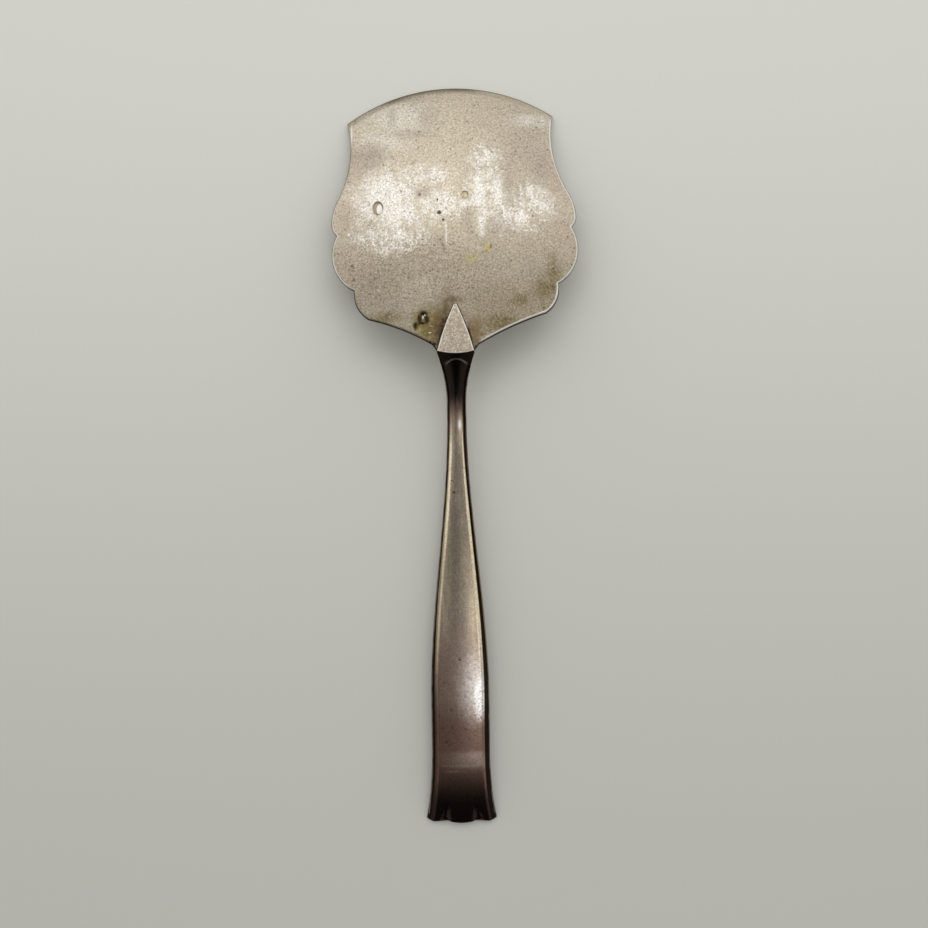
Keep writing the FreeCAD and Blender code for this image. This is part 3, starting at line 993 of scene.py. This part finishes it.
def spot_group():
    """One ragged spot: 1 inside its radii round Centre, seen from above, and 0 outside."""
    group, given = new_shader_group(
        "spot", {"Vector": (0, 0, 0), "Centre": (0, 0, 0), "Radii": (1, 1, 1), "Softness": 0.3,
                 "Raggedness": 0.5, "Grit": 1.0}, ["Mask"])
    away = given["Vector"]
    for operation, other in (
            ("SUBTRACT", given["Centre"]), ("MULTIPLY", (1, 1, 0)), ("DIVIDE", given["Radii"])):
        away = output_of(group, "ShaderNodeVectorMath", {0: away, 1: other}, operation=operation)
    length = output_of(group, "ShaderNodeVectorMath", {0: away}, "Value", operation="LENGTH")
    lumps = noise(group, {"Vector": given["Vector"], "Scale": 1 / given["Grit"], "Detail": 3.0})
    distance = length + (lumps - 0.5) * given["Raggedness"]
    softness = given["Softness"]
    return put_out(group, {"Mask": distance.fade(1 - softness, softness + 1)})


def grain_group():
    """Fine cast or etched grain: Tone is light and dark specks about 0.5, Height drives the bump."""
    group, given = new_shader_group(
        "grain", {"Vector": (0, 0, 0), "Size": 0.3, "Pit Size": 0.9, "Pits": 0.5}, ["Tone", "Height"])
    vector, pit_size = given["Vector"], given["Pit Size"]
    fine = noise(group, {"Vector": vector, "Scale": 1 / given["Size"], "Detail": 5.0, "Roughness": 0.75})
    cells = output_of(group, "ShaderNodeTexVoronoi", {"Vector": vector, "Scale": 1 / pit_size})
    hollow = cells.fade(0, 0.42)
    chosen = noise(group, {"Vector": vector, "Scale": 0.6 / pit_size}).ramp(0.5, 0.62)
    pits = hollow * chosen * given["Pits"]
    return put_out(group, {"Tone": fine.ramp(0.3, 0.7) - pits * 0.8, "Height": fine - pits})


def edge_band_group():
    """A line along a surface's edge, 1 within Width of the edge: for rubbed wear, and also for painted
    highlight and shade.
    """
    group, given = new_shader_group(
        "edge_band", {"Distance": 0.0, "Width": 0.4, "Vector": (0, 0, 0), "Unevenness": 0.5}, ["Mask"])
    lumps = noise(group, {"Vector": given["Vector"], "Scale": 0.8, "Detail": 3.0})
    distance = abs(given["Distance"]) + (lumps - 0.5) * given["Unevenness"]
    width = given["Width"]
    return put_out(group, {"Mask": distance.fade(width * 0.4, width)})


CLOUD = cloud_group()
SPOT = spot_group()
GRAIN = grain_group()
EDGE_BAND = edge_band_group()


class Finish:
    """A metal being painted: its material, its plan coordinates in millimetres from the crease, and
    the colour and roughness built up so far."""

    def __init__(self, name, colour, roughness):
        self.material = bpy.data.materials.new(name)
        self.material.use_nodes = True
        self.tree = self.material.node_tree
        self.shader = self.tree.nodes["Principled BSDF"]
        self.shader.inputs["Metallic"].default_value = 1
        self.shader.inputs["Base Color"].default_value = (*colour, 1)
        self.shader.inputs["Roughness"].default_value = roughness
        place = output_of(self.tree, "ShaderNodeTexCoord", output="Object")
        self.plan = output_of(self.tree, "ShaderNodeMapping", {
            "Vector": place, "Scale": (1 / MM, 1 / MM, 1 / MM),
            "Location": (-AXIS_X / MM, -CREASE_Y / MM, 0)})
        self.across, self.along, _ = axes(self.tree, self.plan)
        self.colour = (*colour, 1)
        self.roughness = roughness

    def value(self, name):
        """A value kept on the mesh."""
        return output_of(self.tree, "ShaderNodeAttribute", output="Fac", attribute_name=name)

    def use(self, group, inputs):
        """A shader group placed on the plan coordinates, as its named outputs."""
        inputs = {"Vector": self.plan, **inputs}
        node = add_node(self.tree, "ShaderNodeGroup", inputs, node_tree=group)
        return {key: Value(self.tree, socket) for key, socket in node.outputs.items()}

    def cloud(self, size, low, high, seed, detail=3, drawn=1):
        """Uneven patches, drawn out along the spatula where drawn is under 1."""
        inputs = {"Size": size, "Detail": detail, "Low": low, "High": high, "Seed": seed}
        if drawn != 1:
            inputs["Vector"] = output_of(self.tree, "ShaderNodeMapping", {
                "Vector": self.plan, "Scale": (1, drawn, 1)})
        return self.use(CLOUD, inputs)["Mask"]

    def spot(self, mark, softness, raggedness, grit=1):
        """One spot, given as its place across and along and its two radii."""
        return self.use(SPOT, {
            "Centre": (*mark[:2], 0), "Radii": (*mark[2:], 1), "Softness": softness,
            "Raggedness": raggedness, "Grit": grit})["Mask"]

    def marks(self, places, *look):
        """One mask over several spots."""
        mask = self.spot(places[0], *look)
        for place in places[1:]:
            mask = mask | self.spot(place, *look)
        return mask

    def edge_band(self, distance, width, unevenness):
        """A line where a distance is near 0."""
        return self.use(EDGE_BAND, {
            "Distance": distance, "Width": width, "Unevenness": unevenness})["Mask"]

    def paint(self, mask, colour, strength=1):
        """Lays a colour over what is there, where the mask is."""
        if strength != 1:
            mask = mask * strength
        self.colour = mixed(mask, self.colour, (*colour, 1))

    def stain(self, places, colour, strength, *look):
        """Paints several spots; look is their softness, raggedness and grit."""
        self.paint(self.marks(places, *look), colour, strength)

    def roughen(self, mask, roughness):
        """Moves the roughness towards a value, where the mask is."""
        inputs = {0: mask, 2: self.roughness, 3: roughness}
        self.roughness = output_of(self.tree, "ShaderNodeMix", inputs)

    def speckle(self, tone, strength):
        """Lightens and darkens the colour with a tone that is 0.5 where nothing changes."""
        gain = tone * strength + (1 - strength / 2)
        inputs = {0: self.colour, "Scale": gain}
        self.colour = output_of(self.tree, "ShaderNodeVectorMath", inputs, operation="SCALE")

    def done(self, height=None, depth=0.0):
        """Joins the colour, roughness and bump to the shader."""
        joined = {"Base Color": self.colour, "Roughness": self.roughness}
        if height is not None:
            joined["Normal"] = output_of(self.tree, "ShaderNodeBump", {"Height": height, "Distance": depth})
        for key, value in joined.items():
            if isinstance(value, Value):
                self.tree.links.new(value.socket, self.shader.inputs[key])
        return self.material


# Blade's silver. Marks are in millimetres from the crease: across, along, and their two radii.
# The numbers after a cloud's size are where it starts and is full, its seed and its detail.

CHAMPAGNE = (0.62, 0.545, 0.42)
CLEAN_SILVER_AND_HIGHLIGHT = (0.86, 0.82, 0.76)
DULL_GREY = (0.37, 0.32, 0.24)
PINK_TARNISH = (0.49, 0.4, 0.315)
GREY_CLOUD = (0.42, 0.36, 0.29)
WARM_GREY = (0.44, 0.37, 0.28)
BROWN_TARNISH_AND_SHADE = (0.15, 0.1, 0.05)
BLISTER_SHELL = (0.34, 0.27, 0.18)
OLIVE_STAIN = (0.17, 0.13, 0.04)
RUST_STAIN = (0.2, 0.125, 0.045)
YELLOW_STAIN = (0.47, 0.39, 0.15)
EDGE_BROWN = (0.15, 0.11, 0.07)
EDGE_CREAM = (0.9, 0.8, 0.62)
GRIME_AND_SHADE_BLACK = (0.03, 0.02, 0.014)
PLAIN_SILVER = (0.42, 0.37, 0.29)
BLADE_BUMP = 0.05 * MM

# Bright patches and the whitest spots across the middle: rubbed silver, and also a painted highlight where
# the window's reflection falls.
RUBBED_AND_HIGHLIT = [(-18.5, 31.5, 3.5, 4), (-13.5, 24.2, 7.2, 2.9), (-14.5, 33.3, 7, 6), (-11.5, 28.8, 5.2, 3.2),
           (-3.5, 31.5, 6, 3.6), (6.5, 34, 3.6, 6), (17.8, 32, 4, 4), (6.3, 42.3, 3, 2.6),
           (12, 29.5, 5, 4.5), (-5.8, 37.8, 5.2, 2.2)]
WHITEST = [(-1.7, 24.8, 0.2, 2.2), (-14.6, 34, 4.2, 4.2), (-11.8, 29.8, 3.2, 2), (9.2, 34.4, 0.9, 3.4),
           (5.2, 34.6, 1, 3.2), (5.8, 27, 0.7, 2.6), (13.9, 29.2, 1, 1.8), (17.4, 31.8, 0.8, 0.6),
           (2.4, 31.9, 0.9, 0.5)]
BROWN_STREAKS = [(11.6, 34.2, 1, 4.4), (13.4, 32.6, 0.6, 2.6), (7.3, 33.4, 0.35, 1),
                 (-6.6, 33.9, 1.8, 1.3), (2.8, 27.5, 1.2, 3), (-18.1, 42.4, 2.8, 2.8),
                 (-2.9, 23.4, 1.1, 1.6), (18.8, 38.9, 1.8, 4), (14.8, 35.2, 0.4, 1.6),
                 (9.5, 26, 3.2, 2.2)]
LIGHTER = [(-11.5, 51.3, 5.6, 3), (-15, 46.2, 4.5, 2.4), (16.6, 50.6, 4, 1.3)]
STIPPLED = [(-16.5, 16.5, 6.5, 5), (-15.5, 23, 6, 1.8), (-19.5, 27.8, 2.2, 2.2), (-7, 22, 6, 2.8),
            (14, 11, 9, 4), (11, 6, 5, 3), (0.5, 15.2, 6.5, 4.2)]
OLIVE_STAINS = [(20.6, 16.4, 1.5, 3.6), (19, 13.2, 2.2, 2), (-14.3, 7.3, 2.7, 1), (13.6, 10.6, 1.6, 1),
                (9.4, 5.6, 3.2, 1.8)]
OLIVE_VEIL = (10.5, 9, 9.5, 5)
HALO = (-5.4, 5.5, 3.2, 3.6)
YELLOW_SPOTS = [(6.9, 21.9, 0.85, 0.9), (3.5, 19.5, 1.2, 0.7), (-4.4, 6.4, 1, 1.5),
                (-5.2, 3.4, 1.2, 0.8), (-6.8, 5.4, 1.3, 2)]
RUST_STAINS = [(4, 3.9, 1.2, 2.8), (4.8, 1.9, 1.1, 0.8), (5.4, 3.4, 0.5, 0.5)]
TONGUE_CAP = [(-0.3, 10.7, 1.7, 0.6), (-1.9, 9.4, 0.7, 1.1), (-3, 6.6, 0.9, 1.6), (-3.7, 4.6, 0.7, 1.6)]
TONGUE_FEET = [(-4.5, 1.4, 0.5, 0.55), (4.3, 0.8, 0.4, 0.4), (-5.2, 1.9, 0.3, 0.25)]
PINK_CLOUDS = [(-21.8, 41.5, 2.6, 5), (21.6, 37.5, 2.6, 6), (23.5, 24, 2.4, 4.5),
               (-22.5, 18.5, 3.2, 3.6), (-23.5, 29.5, 1.8, 3.2)]
GREY_CLOUDS = [(-5.6, 51.2, 2, 2.6), (-8.8, 47.4, 4.6, 1.1), (-16.8, 43.2, 2.6, 2.6),
               (-9, 55.6, 5.5, 0.8), (15.5, 43, 4, 5), (-13, 51.6, 0.8, 2.4)]
SPECKS = [(-2.3, 27.9, 0.26, 0.28), (-3.1, 29.5, 0.48, 0.46), (-3.5, 32.3, 0.16, 0.36)]
BROWN_SPECKS = [(-7.3, 48, 0.3, 0.16), (-7.2, 33.6, 0.28, 0.4), (10.4, 6.6, 0.4, 0.3),
                (18.4, 9, 0.3, 0.3), (20.6, 13.4, 0.3, 0.5), (-21.5, 18.5, 0.3, 0.4),
                (-21.2, 15.6, 0.25, 0.3), (7.6, 22, 0.25, 0.4), (-2, 21.5, 0.2, 0.2)]
PIT_FLOOR = [(-6.8, 6.9, 1, 1.4), (-8.1, 5.3, 0.6, 0.9)]
PIT_WALL_SHADE = [(-6.5, 7.9, 0.75, 0.6), (-7.4, 6.7, 0.45, 0.9), (-5.9, 6.6, 0.5, 0.9),
             (-8.3, 5.3, 0.4, 0.75), (-6.9, 5.9, 0.9, 0.35)]
FLECKS_AND_GLINTS = [(-6.7, 7.2, 0.14, 0.4), (-6.3, 7.6, 0.14, 0.2), (-22.3, 25.4, 0.26, 0.3),
              (-5.3, 3.9, 0.3, 0.1), (-22, 48, 0.2, 2.4)]
BLISTER = (-16.1, 30.9, 1.15, 1.5)
BLISTER_FLOOR_HIGHLIGHT = (-15.75, 30.7, 0.62, 1.1)
RING_PIT = (2.3, 33.4, 0.75, 0.8)


def dulled_rubbed_and_highlit(finish):
    """Dull towards the heel, darker towards the right as painted shade, and bright and mottled across the
    middle, partly rubbed silver and partly a painted highlight where the window's reflection falls.
    """
    heel = finish.along.ramp(33, 15)
    finish.paint(heel * finish.cloud(9, -0.3, 0.6, 8), DULL_GREY, 0.95)
    mottle = finish.cloud(1.5, 0.38, 0.62, 1, 4) | finish.cloud(0.8, 0.38, 0.62, 3, drawn=0.3)
    rubbed_and_highlit = finish.marks(RUBBED_AND_HIGHLIT, 0.75, 1.5, 2.2)
    gritty = rubbed_and_highlit + finish.cloud(0.4, 0.3, 0.7, 31, 2) * 0.8
    # Painted shade: darker towards the right side.
    finish.paint(finish.across.ramp(-5, 18), DULL_GREY, 0.36)
    finish.stain(LIGHTER, CLEAN_SILVER_AND_HIGHLIGHT, 0.4, 0.9, 1.6, 2)
    finish.paint(gritty.ramp(0.5, 1.5) * mottle, CLEAN_SILVER_AND_HIGHLIGHT, 0.85)
    finish.stain(WHITEST, CLEAN_SILVER_AND_HIGHLIGHT, 0.75, 0.6, 1.6, 1.6)
    finish.paint(rubbed_and_highlit * finish.cloud(0.38, 0.5, 0.66, 33, 2), WARM_GREY, 0.6)
    finish.roughen(rubbed_and_highlit, 0.4)
    finish.stain(BROWN_STREAKS, GREY_CLOUD, 0.6, 0.6, 1.6, 1.2)


def tarnish_clouds(finish):
    """Soft pinkish and grey tarnish, and olive stains left by heat."""
    finish.stain(PINK_CLOUDS, PINK_TARNISH, 0.7, 0.7, 1.2, 2.5)
    finish.stain(GREY_CLOUDS, GREY_CLOUD, 0.42, 0.8, 1.4, 1.6)
    gritty = finish.cloud(0.5, 0.26, 0.54, 9)
    finish.paint(finish.spot(OLIVE_VEIL, 0.9, 0.8, 3), OLIVE_STAIN, 0.2)
    finish.paint(finish.marks(OLIVE_STAINS, 0.9, 0.9, 1.4) * gritty, OLIVE_STAIN, 0.72)
    finish.paint(finish.marks(YELLOW_SPOTS, 0.8, 1.6, 0.8) * gritty, YELLOW_STAIN, 0.8)


def tongue_grime_and_shadow(finish):
    """Solder flux and grime round the tongue: yellow-brown on the left, brown on the right and black in the
    angle, where the black is grime and also painted shadow, wider on the left."""
    from_tongue = finish.value("tongue_gap")
    uneven_gap = from_tongue + finish.cloud(0.9, 0.3, 0.7, 12) * 1.2
    gap = uneven_gap * finish.across.ramp(-0.4, 0.4, 0.55, 1.3)
    finish.paint(finish.spot(HALO, 0.6, 1.5, 1.1) * finish.cloud(0.55, 0.2, 0.55, 4), OLIVE_STAIN, 0.8)
    finish.stain(RUST_STAINS, RUST_STAIN, 0.72, 0.8, 1.6, 0.9)
    finish.stain(TONGUE_CAP, BROWN_TARNISH_AND_SHADE, 0.75, 0.8, 1.8, 0.8)
    finish.paint(gap.fade(0.5, 3), BROWN_TARNISH_AND_SHADE, 0.55)
    # Grime and painted shadow: black in the angle round the tongue and at its feet, wider on the left.
    finish.paint(gap.fade(0.3, 1.1), GRIME_AND_SHADE_BLACK, 0.85)
    finish.paint(from_tongue.fade(0.2, 0.55), GRIME_AND_SHADE_BLACK, 0.9)
    finish.stain(TONGUE_FEET, GRIME_AND_SHADE_BLACK, 0.9, 0.5, 1.4, 0.4)


def pits_painted_light_and_specks(finish):
    """The craters: brown upper walls and black walls as painted shade, olive floors, and a painted
    highlight on the blister's floor; small dark specks, bright flecks and painted glints.
    """
    finish.paint(finish.spot(BLISTER, 0.12, 0.15, 0.6), BLISTER_SHELL, 0.9)
    finish.paint(finish.spot(RING_PIT, 0.2, 0.2, 0.6), YELLOW_STAIN, 0.5)
    # Painted shade: the upper wall of each crater brown-black.
    for pit in (BLISTER, RING_PIT):
        across, along, wide, long = pit
        outer = finish.spot(pit, 0.14, 0.25, 0.5)
        inner = finish.spot((across - 0.05, along - 0.14, wide * 0.86, long * 0.92), 0.14, 0.1)
        upper = finish.along.ramp(along - 0.5, along + 0.3)
        finish.paint(outer * (1 - inner) * upper, BROWN_TARNISH_AND_SHADE, 0.85)
    # Painted highlight on the blister's floor.
    finish.paint(finish.spot(BLISTER_FLOOR_HIGHLIGHT, 0.15, 0.2, 0.6), CLEAN_SILVER_AND_HIGHLIGHT, 0.95)
    finish.stain(PIT_FLOOR, OLIVE_STAIN, 0.7, 0.5, 1, 0.6)
    # Painted shade: black on the crater's walls.
    finish.stain(PIT_WALL_SHADE, GRIME_AND_SHADE_BLACK, 0.92, 0.5, 1, 0.6)
    # Bright flecks, with painted glints in the crater and a painted highlight along the left flank.
    finish.stain(FLECKS_AND_GLINTS, CLEAN_SILVER_AND_HIGHLIGHT, 0.9, 0.3, 0.6, 0.4)
    finish.stain(SPECKS, GRIME_AND_SHADE_BLACK, 0.9, 0.35, 0.8, 0.4)
    finish.stain(BROWN_SPECKS, BROWN_TARNISH_AND_SHADE, 0.75, 0.6, 1, 0.4)


def rim_wear_and_painted_light(finish):
    """A bright line just inside the scalloped edge, partly burnished and partly painted highlight; a dark
    edge of painted shade; brown along the front arc, and paler as painted light over the right of the front
    bevel.
    """
    across, along = finish.across, finish.along
    rim, front_gap = finish.value("rim"), finish.value("front_gap")
    patchy = finish.cloud(5, 0.35, 0.6, 16) * across.ramp(16, 4, 0.3, 1)
    finish.paint(front_gap.fade(0.3, 1.8) * patchy, EDGE_BROWN, 0.45)
    # Painted light: paler over the right part of the front bevel, against the bevel's darker shading.
    finish.paint(front_gap.fade(0.8, 2.2) * across.ramp(1, 9), EDGE_CREAM, 0.4)
    browned = across.ramp(-17, -12) * across.ramp(8, 2)
    finish.paint(front_gap.fade(0.4, 1) * browned, EDGE_BROWN, 0.55)
    finish.paint(front_gap.fade(0.1, 0.42), EDGE_BROWN, 0.5)
    # A bright line inside the edge on the right and towards the front: burnished, and also painted
    # highlight.
    right = across.ramp(-4, 4)
    heel = along.ramp(15, 11.5)
    rubbed = front_gap.ramp(0.8, 2) * (right | along.ramp(44, 20)) * (right | (1 - heel))
    rubbed = rubbed * (abs(across).ramp(4.6, 5.6) | along.ramp(5, 8))
    bright = finish.edge_band(rim - (heel * 0.14 + 0.27), across.ramp(-4, 4, 0.2, 0.26), 0.2)
    finish.paint(bright * rubbed, CLEAN_SILVER_AND_HIGHLIGHT, 0.9)
    # Painted shade: a dark line round the back's edge, black at the heel and on the edge's wall.
    finish.paint(rim.fade(0.04, 0.18), EDGE_BROWN, 0.9)
    finish.paint(rim.fade(0.12, 0.32) * heel, GRIME_AND_SHADE_BLACK, 0.85)
    finish.paint(rim.fade(-0.3, -0.05), GRIME_AND_SHADE_BLACK, 0.85)


def plain_front(finish, distance, edge):
    """The hidden side, plain silver where a distance kept on the mesh falls below its edge."""
    hidden = distance.ramp(edge, edge - 0.2)
    finish.paint(hidden, PLAIN_SILVER)
    finish.roughen(hidden, 0.35)


def blade_silver():
    """Matte champagne silver, granular and unevenly rubbed, with stains from heat and use, a painted
    highlight across the middle, and painted shade at the edges, round the tongue and in the craters.
    """
    finish = Finish("blade_silver", CHAMPAGNE, 0.44)
    grain = finish.use(GRAIN, {"Size": 0.38, "Pit Size": 0.8, "Pits": 0.9})
    dulled_rubbed_and_highlit(finish)
    tarnish_clouds(finish)
    stipple = finish.marks(STIPPLED, 0.8, 1.6, 2.5) * finish.cloud(0.36, 0.5, 0.62, 13, 1)
    finish.paint(stipple, BROWN_TARNISH_AND_SHADE, 0.4)
    everywhere = finish.along.ramp(34, 20) * finish.cloud(0.32, 0.56, 0.66, 22, 1)
    finish.paint(everywhere, BROWN_TARNISH_AND_SHADE, 0.28)
    finish.speckle(grain["Tone"], 0.65)
    tongue_grime_and_shadow(finish)
    pits_painted_light_and_specks(finish)
    rim_wear_and_painted_light(finish)
    plain_front(finish, finish.value("rim"), -1.15)
    return finish.done(grain["Height"], BLADE_BUMP)


# Handle's silver

GOLDEN_SILVER = (0.62, 0.52, 0.37)
PALE_GOLD = (0.94, 0.81, 0.58)
GREY_TARNISH = (0.28, 0.235, 0.19)
DEEP_GREY = (0.16, 0.135, 0.11)
TAUPE_TARNISH_AND_SHEEN = (0.36, 0.27, 0.22)
RED_TARNISH_AND_SHADE = (0.22, 0.13, 0.1)
TARNISH_AND_SHADE_BLACK = (0.022, 0.016, 0.014)
WORN_SILVER = (0.88, 0.82, 0.74)
TONGUE_SILVER = (0.5, 0.43, 0.33)
BEAD_GOLD = (0.34, 0.26, 0.15)
HIGHLIGHT_WHITE = (0.99, 0.95, 0.91)
TONGUE_SHADE = (0.27, 0.225, 0.165)
RIM_TABLE_REFLECTION = (0.15, 0.105, 0.1)
SPECULAR_TINT = (0.4, 0.37, 0.35)
HANDLE_BUMP = 0.012 * MM

NECK_HIGHLIGHT = [(0.57, -15, 0.32, 1)]
NECK_GOLDEN_SHEEN = [(-1.2, -16.6, 0.14, 2.4), (0.6, -15.4, 0.55, 2.4)]
ARCH_HIGHLIGHT = (0.1, -3.2, 2.5, 1.75)
HIGHLIGHT = (4.2, -73, 1.5, 4.6)
HIGHLIGHT_EDGE = (3.1, -71.2, 2.7, 5.6)
DULL_MIDDLE = (-0.3, -43, 2.8, 13)
BEND_SHEEN = [(0.3, -88, 3.6, 0.3), (3.9, -87.6, 0.6, 0.6), (-1.5, -89.2, 2, 0.25)]
BEND_SHEEN_BAND = (2.4, -87, 5, 1.7)
HANDLE_PITS = [(-0.8, -29.3, 0.32, 0.26), (-1.2, -26.8, 0.28, 0.12), (0, -65.1, 0.28, 0.22)]


def handle_tarnish_and_painted_reflections(finish):
    """Golden silver, greyer along the middle and taupe below, with painted dark reflections, brown before
    the end and black at the neck and the end, and a painted sheen on the bend.
    """
    across, along = finish.across, finish.along
    centre = abs(across).ramp(3.4, 0.6)
    finish.paint(centre * finish.cloud(2, 0.15, 0.55, 6, drawn=0.4), GREY_TARNISH, 0.8)
    finish.paint(finish.cloud(0.45, 0.42, 0.7, 2, drawn=0.1), GREY_TARNISH, 0.5)
    finish.paint(centre * finish.cloud(0.35, 0.5, 0.64, 21, drawn=0.35), RED_TARNISH_AND_SHADE, 0.35)
    finish.paint(finish.spot(DULL_MIDDLE, 0.8, 0.6, 2), DEEP_GREY, 0.3)
    finish.paint(along.ramp(-52, -66), TAUPE_TARNISH_AND_SHEEN, 0.75)
    finish.paint(across.ramp(1.5, -4.5) * along.ramp(-50, -70), RED_TARNISH_AND_SHADE, 0.48)
    # Painted shade: dark brown where the handle falls towards its end.
    finish.paint(along.ramp(-72.5, -80), RED_TARNISH_AND_SHADE, 0.9)
    finish.paint(finish.cloud(1.6, 0.5, 0.7, 14), RED_TARNISH_AND_SHADE, 0.2)
    # Painted sheen: a lighter band on the crest of the bend.
    finish.paint(finish.spot(BEND_SHEEN_BAND, 0.8, 1, 1.2), TAUPE_TARNISH_AND_SHEEN, 0.95)
    # Painted shade: black over the end, a dark reflection.
    finish.paint(along.ramp(-89, -97), TARNISH_AND_SHADE_BLACK, 0.8)
    # Painted sheen: light streaks on the bend.
    finish.stain(BEND_SHEEN, GOLDEN_SILVER, 0.3, 0.7, 1.2, 0.8)
    # Painted shade: dark red, then black, over the neck, a dark reflection.
    finish.paint(along.ramp(-20, -10.5), RED_TARNISH_AND_SHADE, 0.65)
    finish.paint(along.ramp(-14.5, -8.5), TARNISH_AND_SHADE_BLACK, 0.95)


def worn_and_highlit_shoulders(finish, panel):
    """The pale band along the panel's edges, wider on the left, partly rubbed and partly painted highlight;
    a painted highlight near the end; the walls below painted dark as shade, and the rims as a painted
    reflection of the table.
    """
    across, along = finish.across, finish.along
    left = across.ramp(0.3, -0.3)
    # Pale band along the shoulders: rubbed, and also painted highlight.
    upper = along.ramp(-14, -20) * along.ramp(-74, -58)
    width = left * along.ramp(-50, -38, -0.2, 0.42) + 0.62
    shoulder = finish.edge_band(panel + (left * 0.35 + 0.05), width, 0.5)
    rubbed = across.ramp(-0.3, 0.3, 0, 0.86) | (left * along.ramp(-47, -33, 0.34, 1))
    finish.paint(shoulder * upper * rubbed, PALE_GOLD, 0.95)
    # Painted highlight on the grip's right edge near the end.
    highlight = finish.spot(HIGHLIGHT, 0.5, 0.8, 0.6)
    bright = highlight | (finish.spot(HIGHLIGHT_EDGE, 0.9, 1.2, 0.8) * 0.55)
    finish.roughen(highlight, 0.285)
    finish.paint(bright * finish.cloud(0.4, 0.25, 0.5, 23), HIGHLIGHT_WHITE, 0.95)
    # Painted shade: darker on the left bevel and along the panel's edge near the end.
    finish.paint(left * panel.ramp(0.1, -0.5) * along.ramp(-64, -74), TARNISH_AND_SHADE_BLACK, 0.55)
    edge_line = finish.edge_band(panel, 0.3, 0.1)
    finish.paint(left * edge_line * along.ramp(-62, -70), TARNISH_AND_SHADE_BLACK, 0.35)
    # Painted shade: black on the side walls, a dark reflection.
    wall_at = left * along.ramp(-66, -50, -0.6, -0.95) + along.ramp(-40, -16, -0.42, -0.08)
    finish.paint((wall_at - panel).ramp(0, 0.2), TARNISH_AND_SHADE_BLACK, 0.97)
    # Painted reflection of the table: purplish grey on the rims, mostly on the right.
    purple = along.ramp(-12, -18) * across.ramp(-0.5, 0.5, 0.35, 1)
    rim_at = along.ramp(-34, -22, -1.9, -1.3)
    finish.paint((rim_at - panel).ramp(0, 0.3) * purple, RIM_TABLE_REFLECTION, 0.9)


def granular_tongue(finish, panel, crease):
    """The matte tongue with its rubbed edges, the facet behind its crease painted black as shade, and a
    painted highlight in a pale arch on the neck."""
    tongue = crease.ramp(-0.06, 0.06)
    finish.paint(tongue, TONGUE_SILVER)
    finish.roughen(tongue, 0.46)
    finish.paint(tongue * finish.along.ramp(9, 3), TONGUE_SHADE, 0.22)
    finish.paint(tongue * finish.cloud(0.36, 0.44, 0.6, 15, 2), TONGUE_SHADE, 0.5)
    finish.paint(tongue * finish.cloud(0.3, 0.56, 0.64, 25, 1), BROWN_TARNISH_AND_SHADE, 0.42)
    finish.paint(tongue * finish.cloud(0.3, 0.54, 0.66, 26, 1), WORN_SILVER, 0.5)
    edges = finish.edge_band(panel, 0.42, 0.5) | finish.edge_band(crease, 0.26, 0.3)
    finish.paint(tongue * edges, WORN_SILVER, 0.65)
    # Painted shade: the facet behind the crease black.
    finish.paint(crease.ramp(-0.02, -0.1) * crease.ramp(-5, -4), TARNISH_AND_SHADE_BLACK, 0.97)
    # Painted highlight: a pale arch where the facet meets the neck.
    across, along, wide, long = ARCH_HIGHLIGHT
    inner = finish.spot((across, along - 0.1, wide - 0.2, long - 0.2), 0.06, 0.1, 0.8)
    arch = finish.spot(ARCH_HIGHLIGHT, 0.06, 0.1, 0.8) * (1 - inner)
    finish.paint(arch * finish.along.ramp(-2.9, -1.9), TAUPE_TARNISH_AND_SHEEN, 0.8)


def handle_silver():
    """Polished silver, tarnished unevenly, with a matte granular tongue, and painted highlights, sheen and
    shade.
    """
    finish = Finish("handle_silver", GOLDEN_SILVER, 0.3)
    finish.shader.inputs["Specular Tint"].default_value = (*SPECULAR_TINT, 1)
    panel, crease = finish.value("panel"), finish.value("crease")
    grain = finish.use(GRAIN, {"Size": 0.34, "Pit Size": 1.5, "Pits": 0.7})
    handle_tarnish_and_painted_reflections(finish)
    worn_and_highlit_shoulders(finish, panel)
    finish.speckle(grain["Tone"], 0.5)
    granular_tongue(finish, panel, crease)
    # Painted highlight on the neck, with a painted golden sheen beside it.
    finish.stain(NECK_GOLDEN_SHEEN, GOLDEN_SILVER, 0.55, 0.8, 0.8, 0.5)
    finish.stain(NECK_HIGHLIGHT, HIGHLIGHT_WHITE, 0.95, 0.8, 0.5, 0.5)
    finish.stain(HANDLE_PITS, TARNISH_AND_SHADE_BLACK, 0.7, 0.5, 1, 0.4)
    plain_front(finish, panel, -2.75)
    return finish.done(grain["Height"], HANDLE_BUMP)


def bead_silver():
    """Tarnished beads of the milled rim, dark between them."""
    finish = Finish("bead_silver", GREY_TARNISH, 0.35)
    finish.paint(finish.cloud(3, 0.4, 0.6, 7), TARNISH_AND_SHADE_BLACK, 0.7)
    gilded = finish.along.ramp(-28, -42) * finish.along.ramp(-68, -60)
    finish.paint(gilded * finish.across.ramp(-0.5, 0.5, 0.15, 1), BEAD_GOLD, 0.8)
    return finish.done()


def solder_grime_and_shade():
    """Black oxide and grime in the angle beside the tongue, dark also as painted shade in that angle."""
    finish = Finish("solder_grime_and_shade", GRIME_AND_SHADE_BLACK, 0.6)
    finish.paint(finish.cloud(1.1, 0.45, 0.7, 11), BROWN_TARNISH_AND_SHADE, 0.6)
    return finish.done()


for piece, material in ((blade, blade_silver()), (casting, handle_silver()), (beads, bead_silver()),
                        (solder, solder_grime_and_shade())):
    piece.data.materials.clear()
    piece.data.materials.append(material)

add_camera()
add_floor()
add_lamp("window", (0.01, 0.34, 0.44), (0.6, 0.3), 0.58)
add_lamp("ceiling_lamp", (0.108, -0.208, 0.6), (0.06, 0.06), 0.115)
add_studio()
bpy.context.scene.view_settings.view_transform = "Standard"
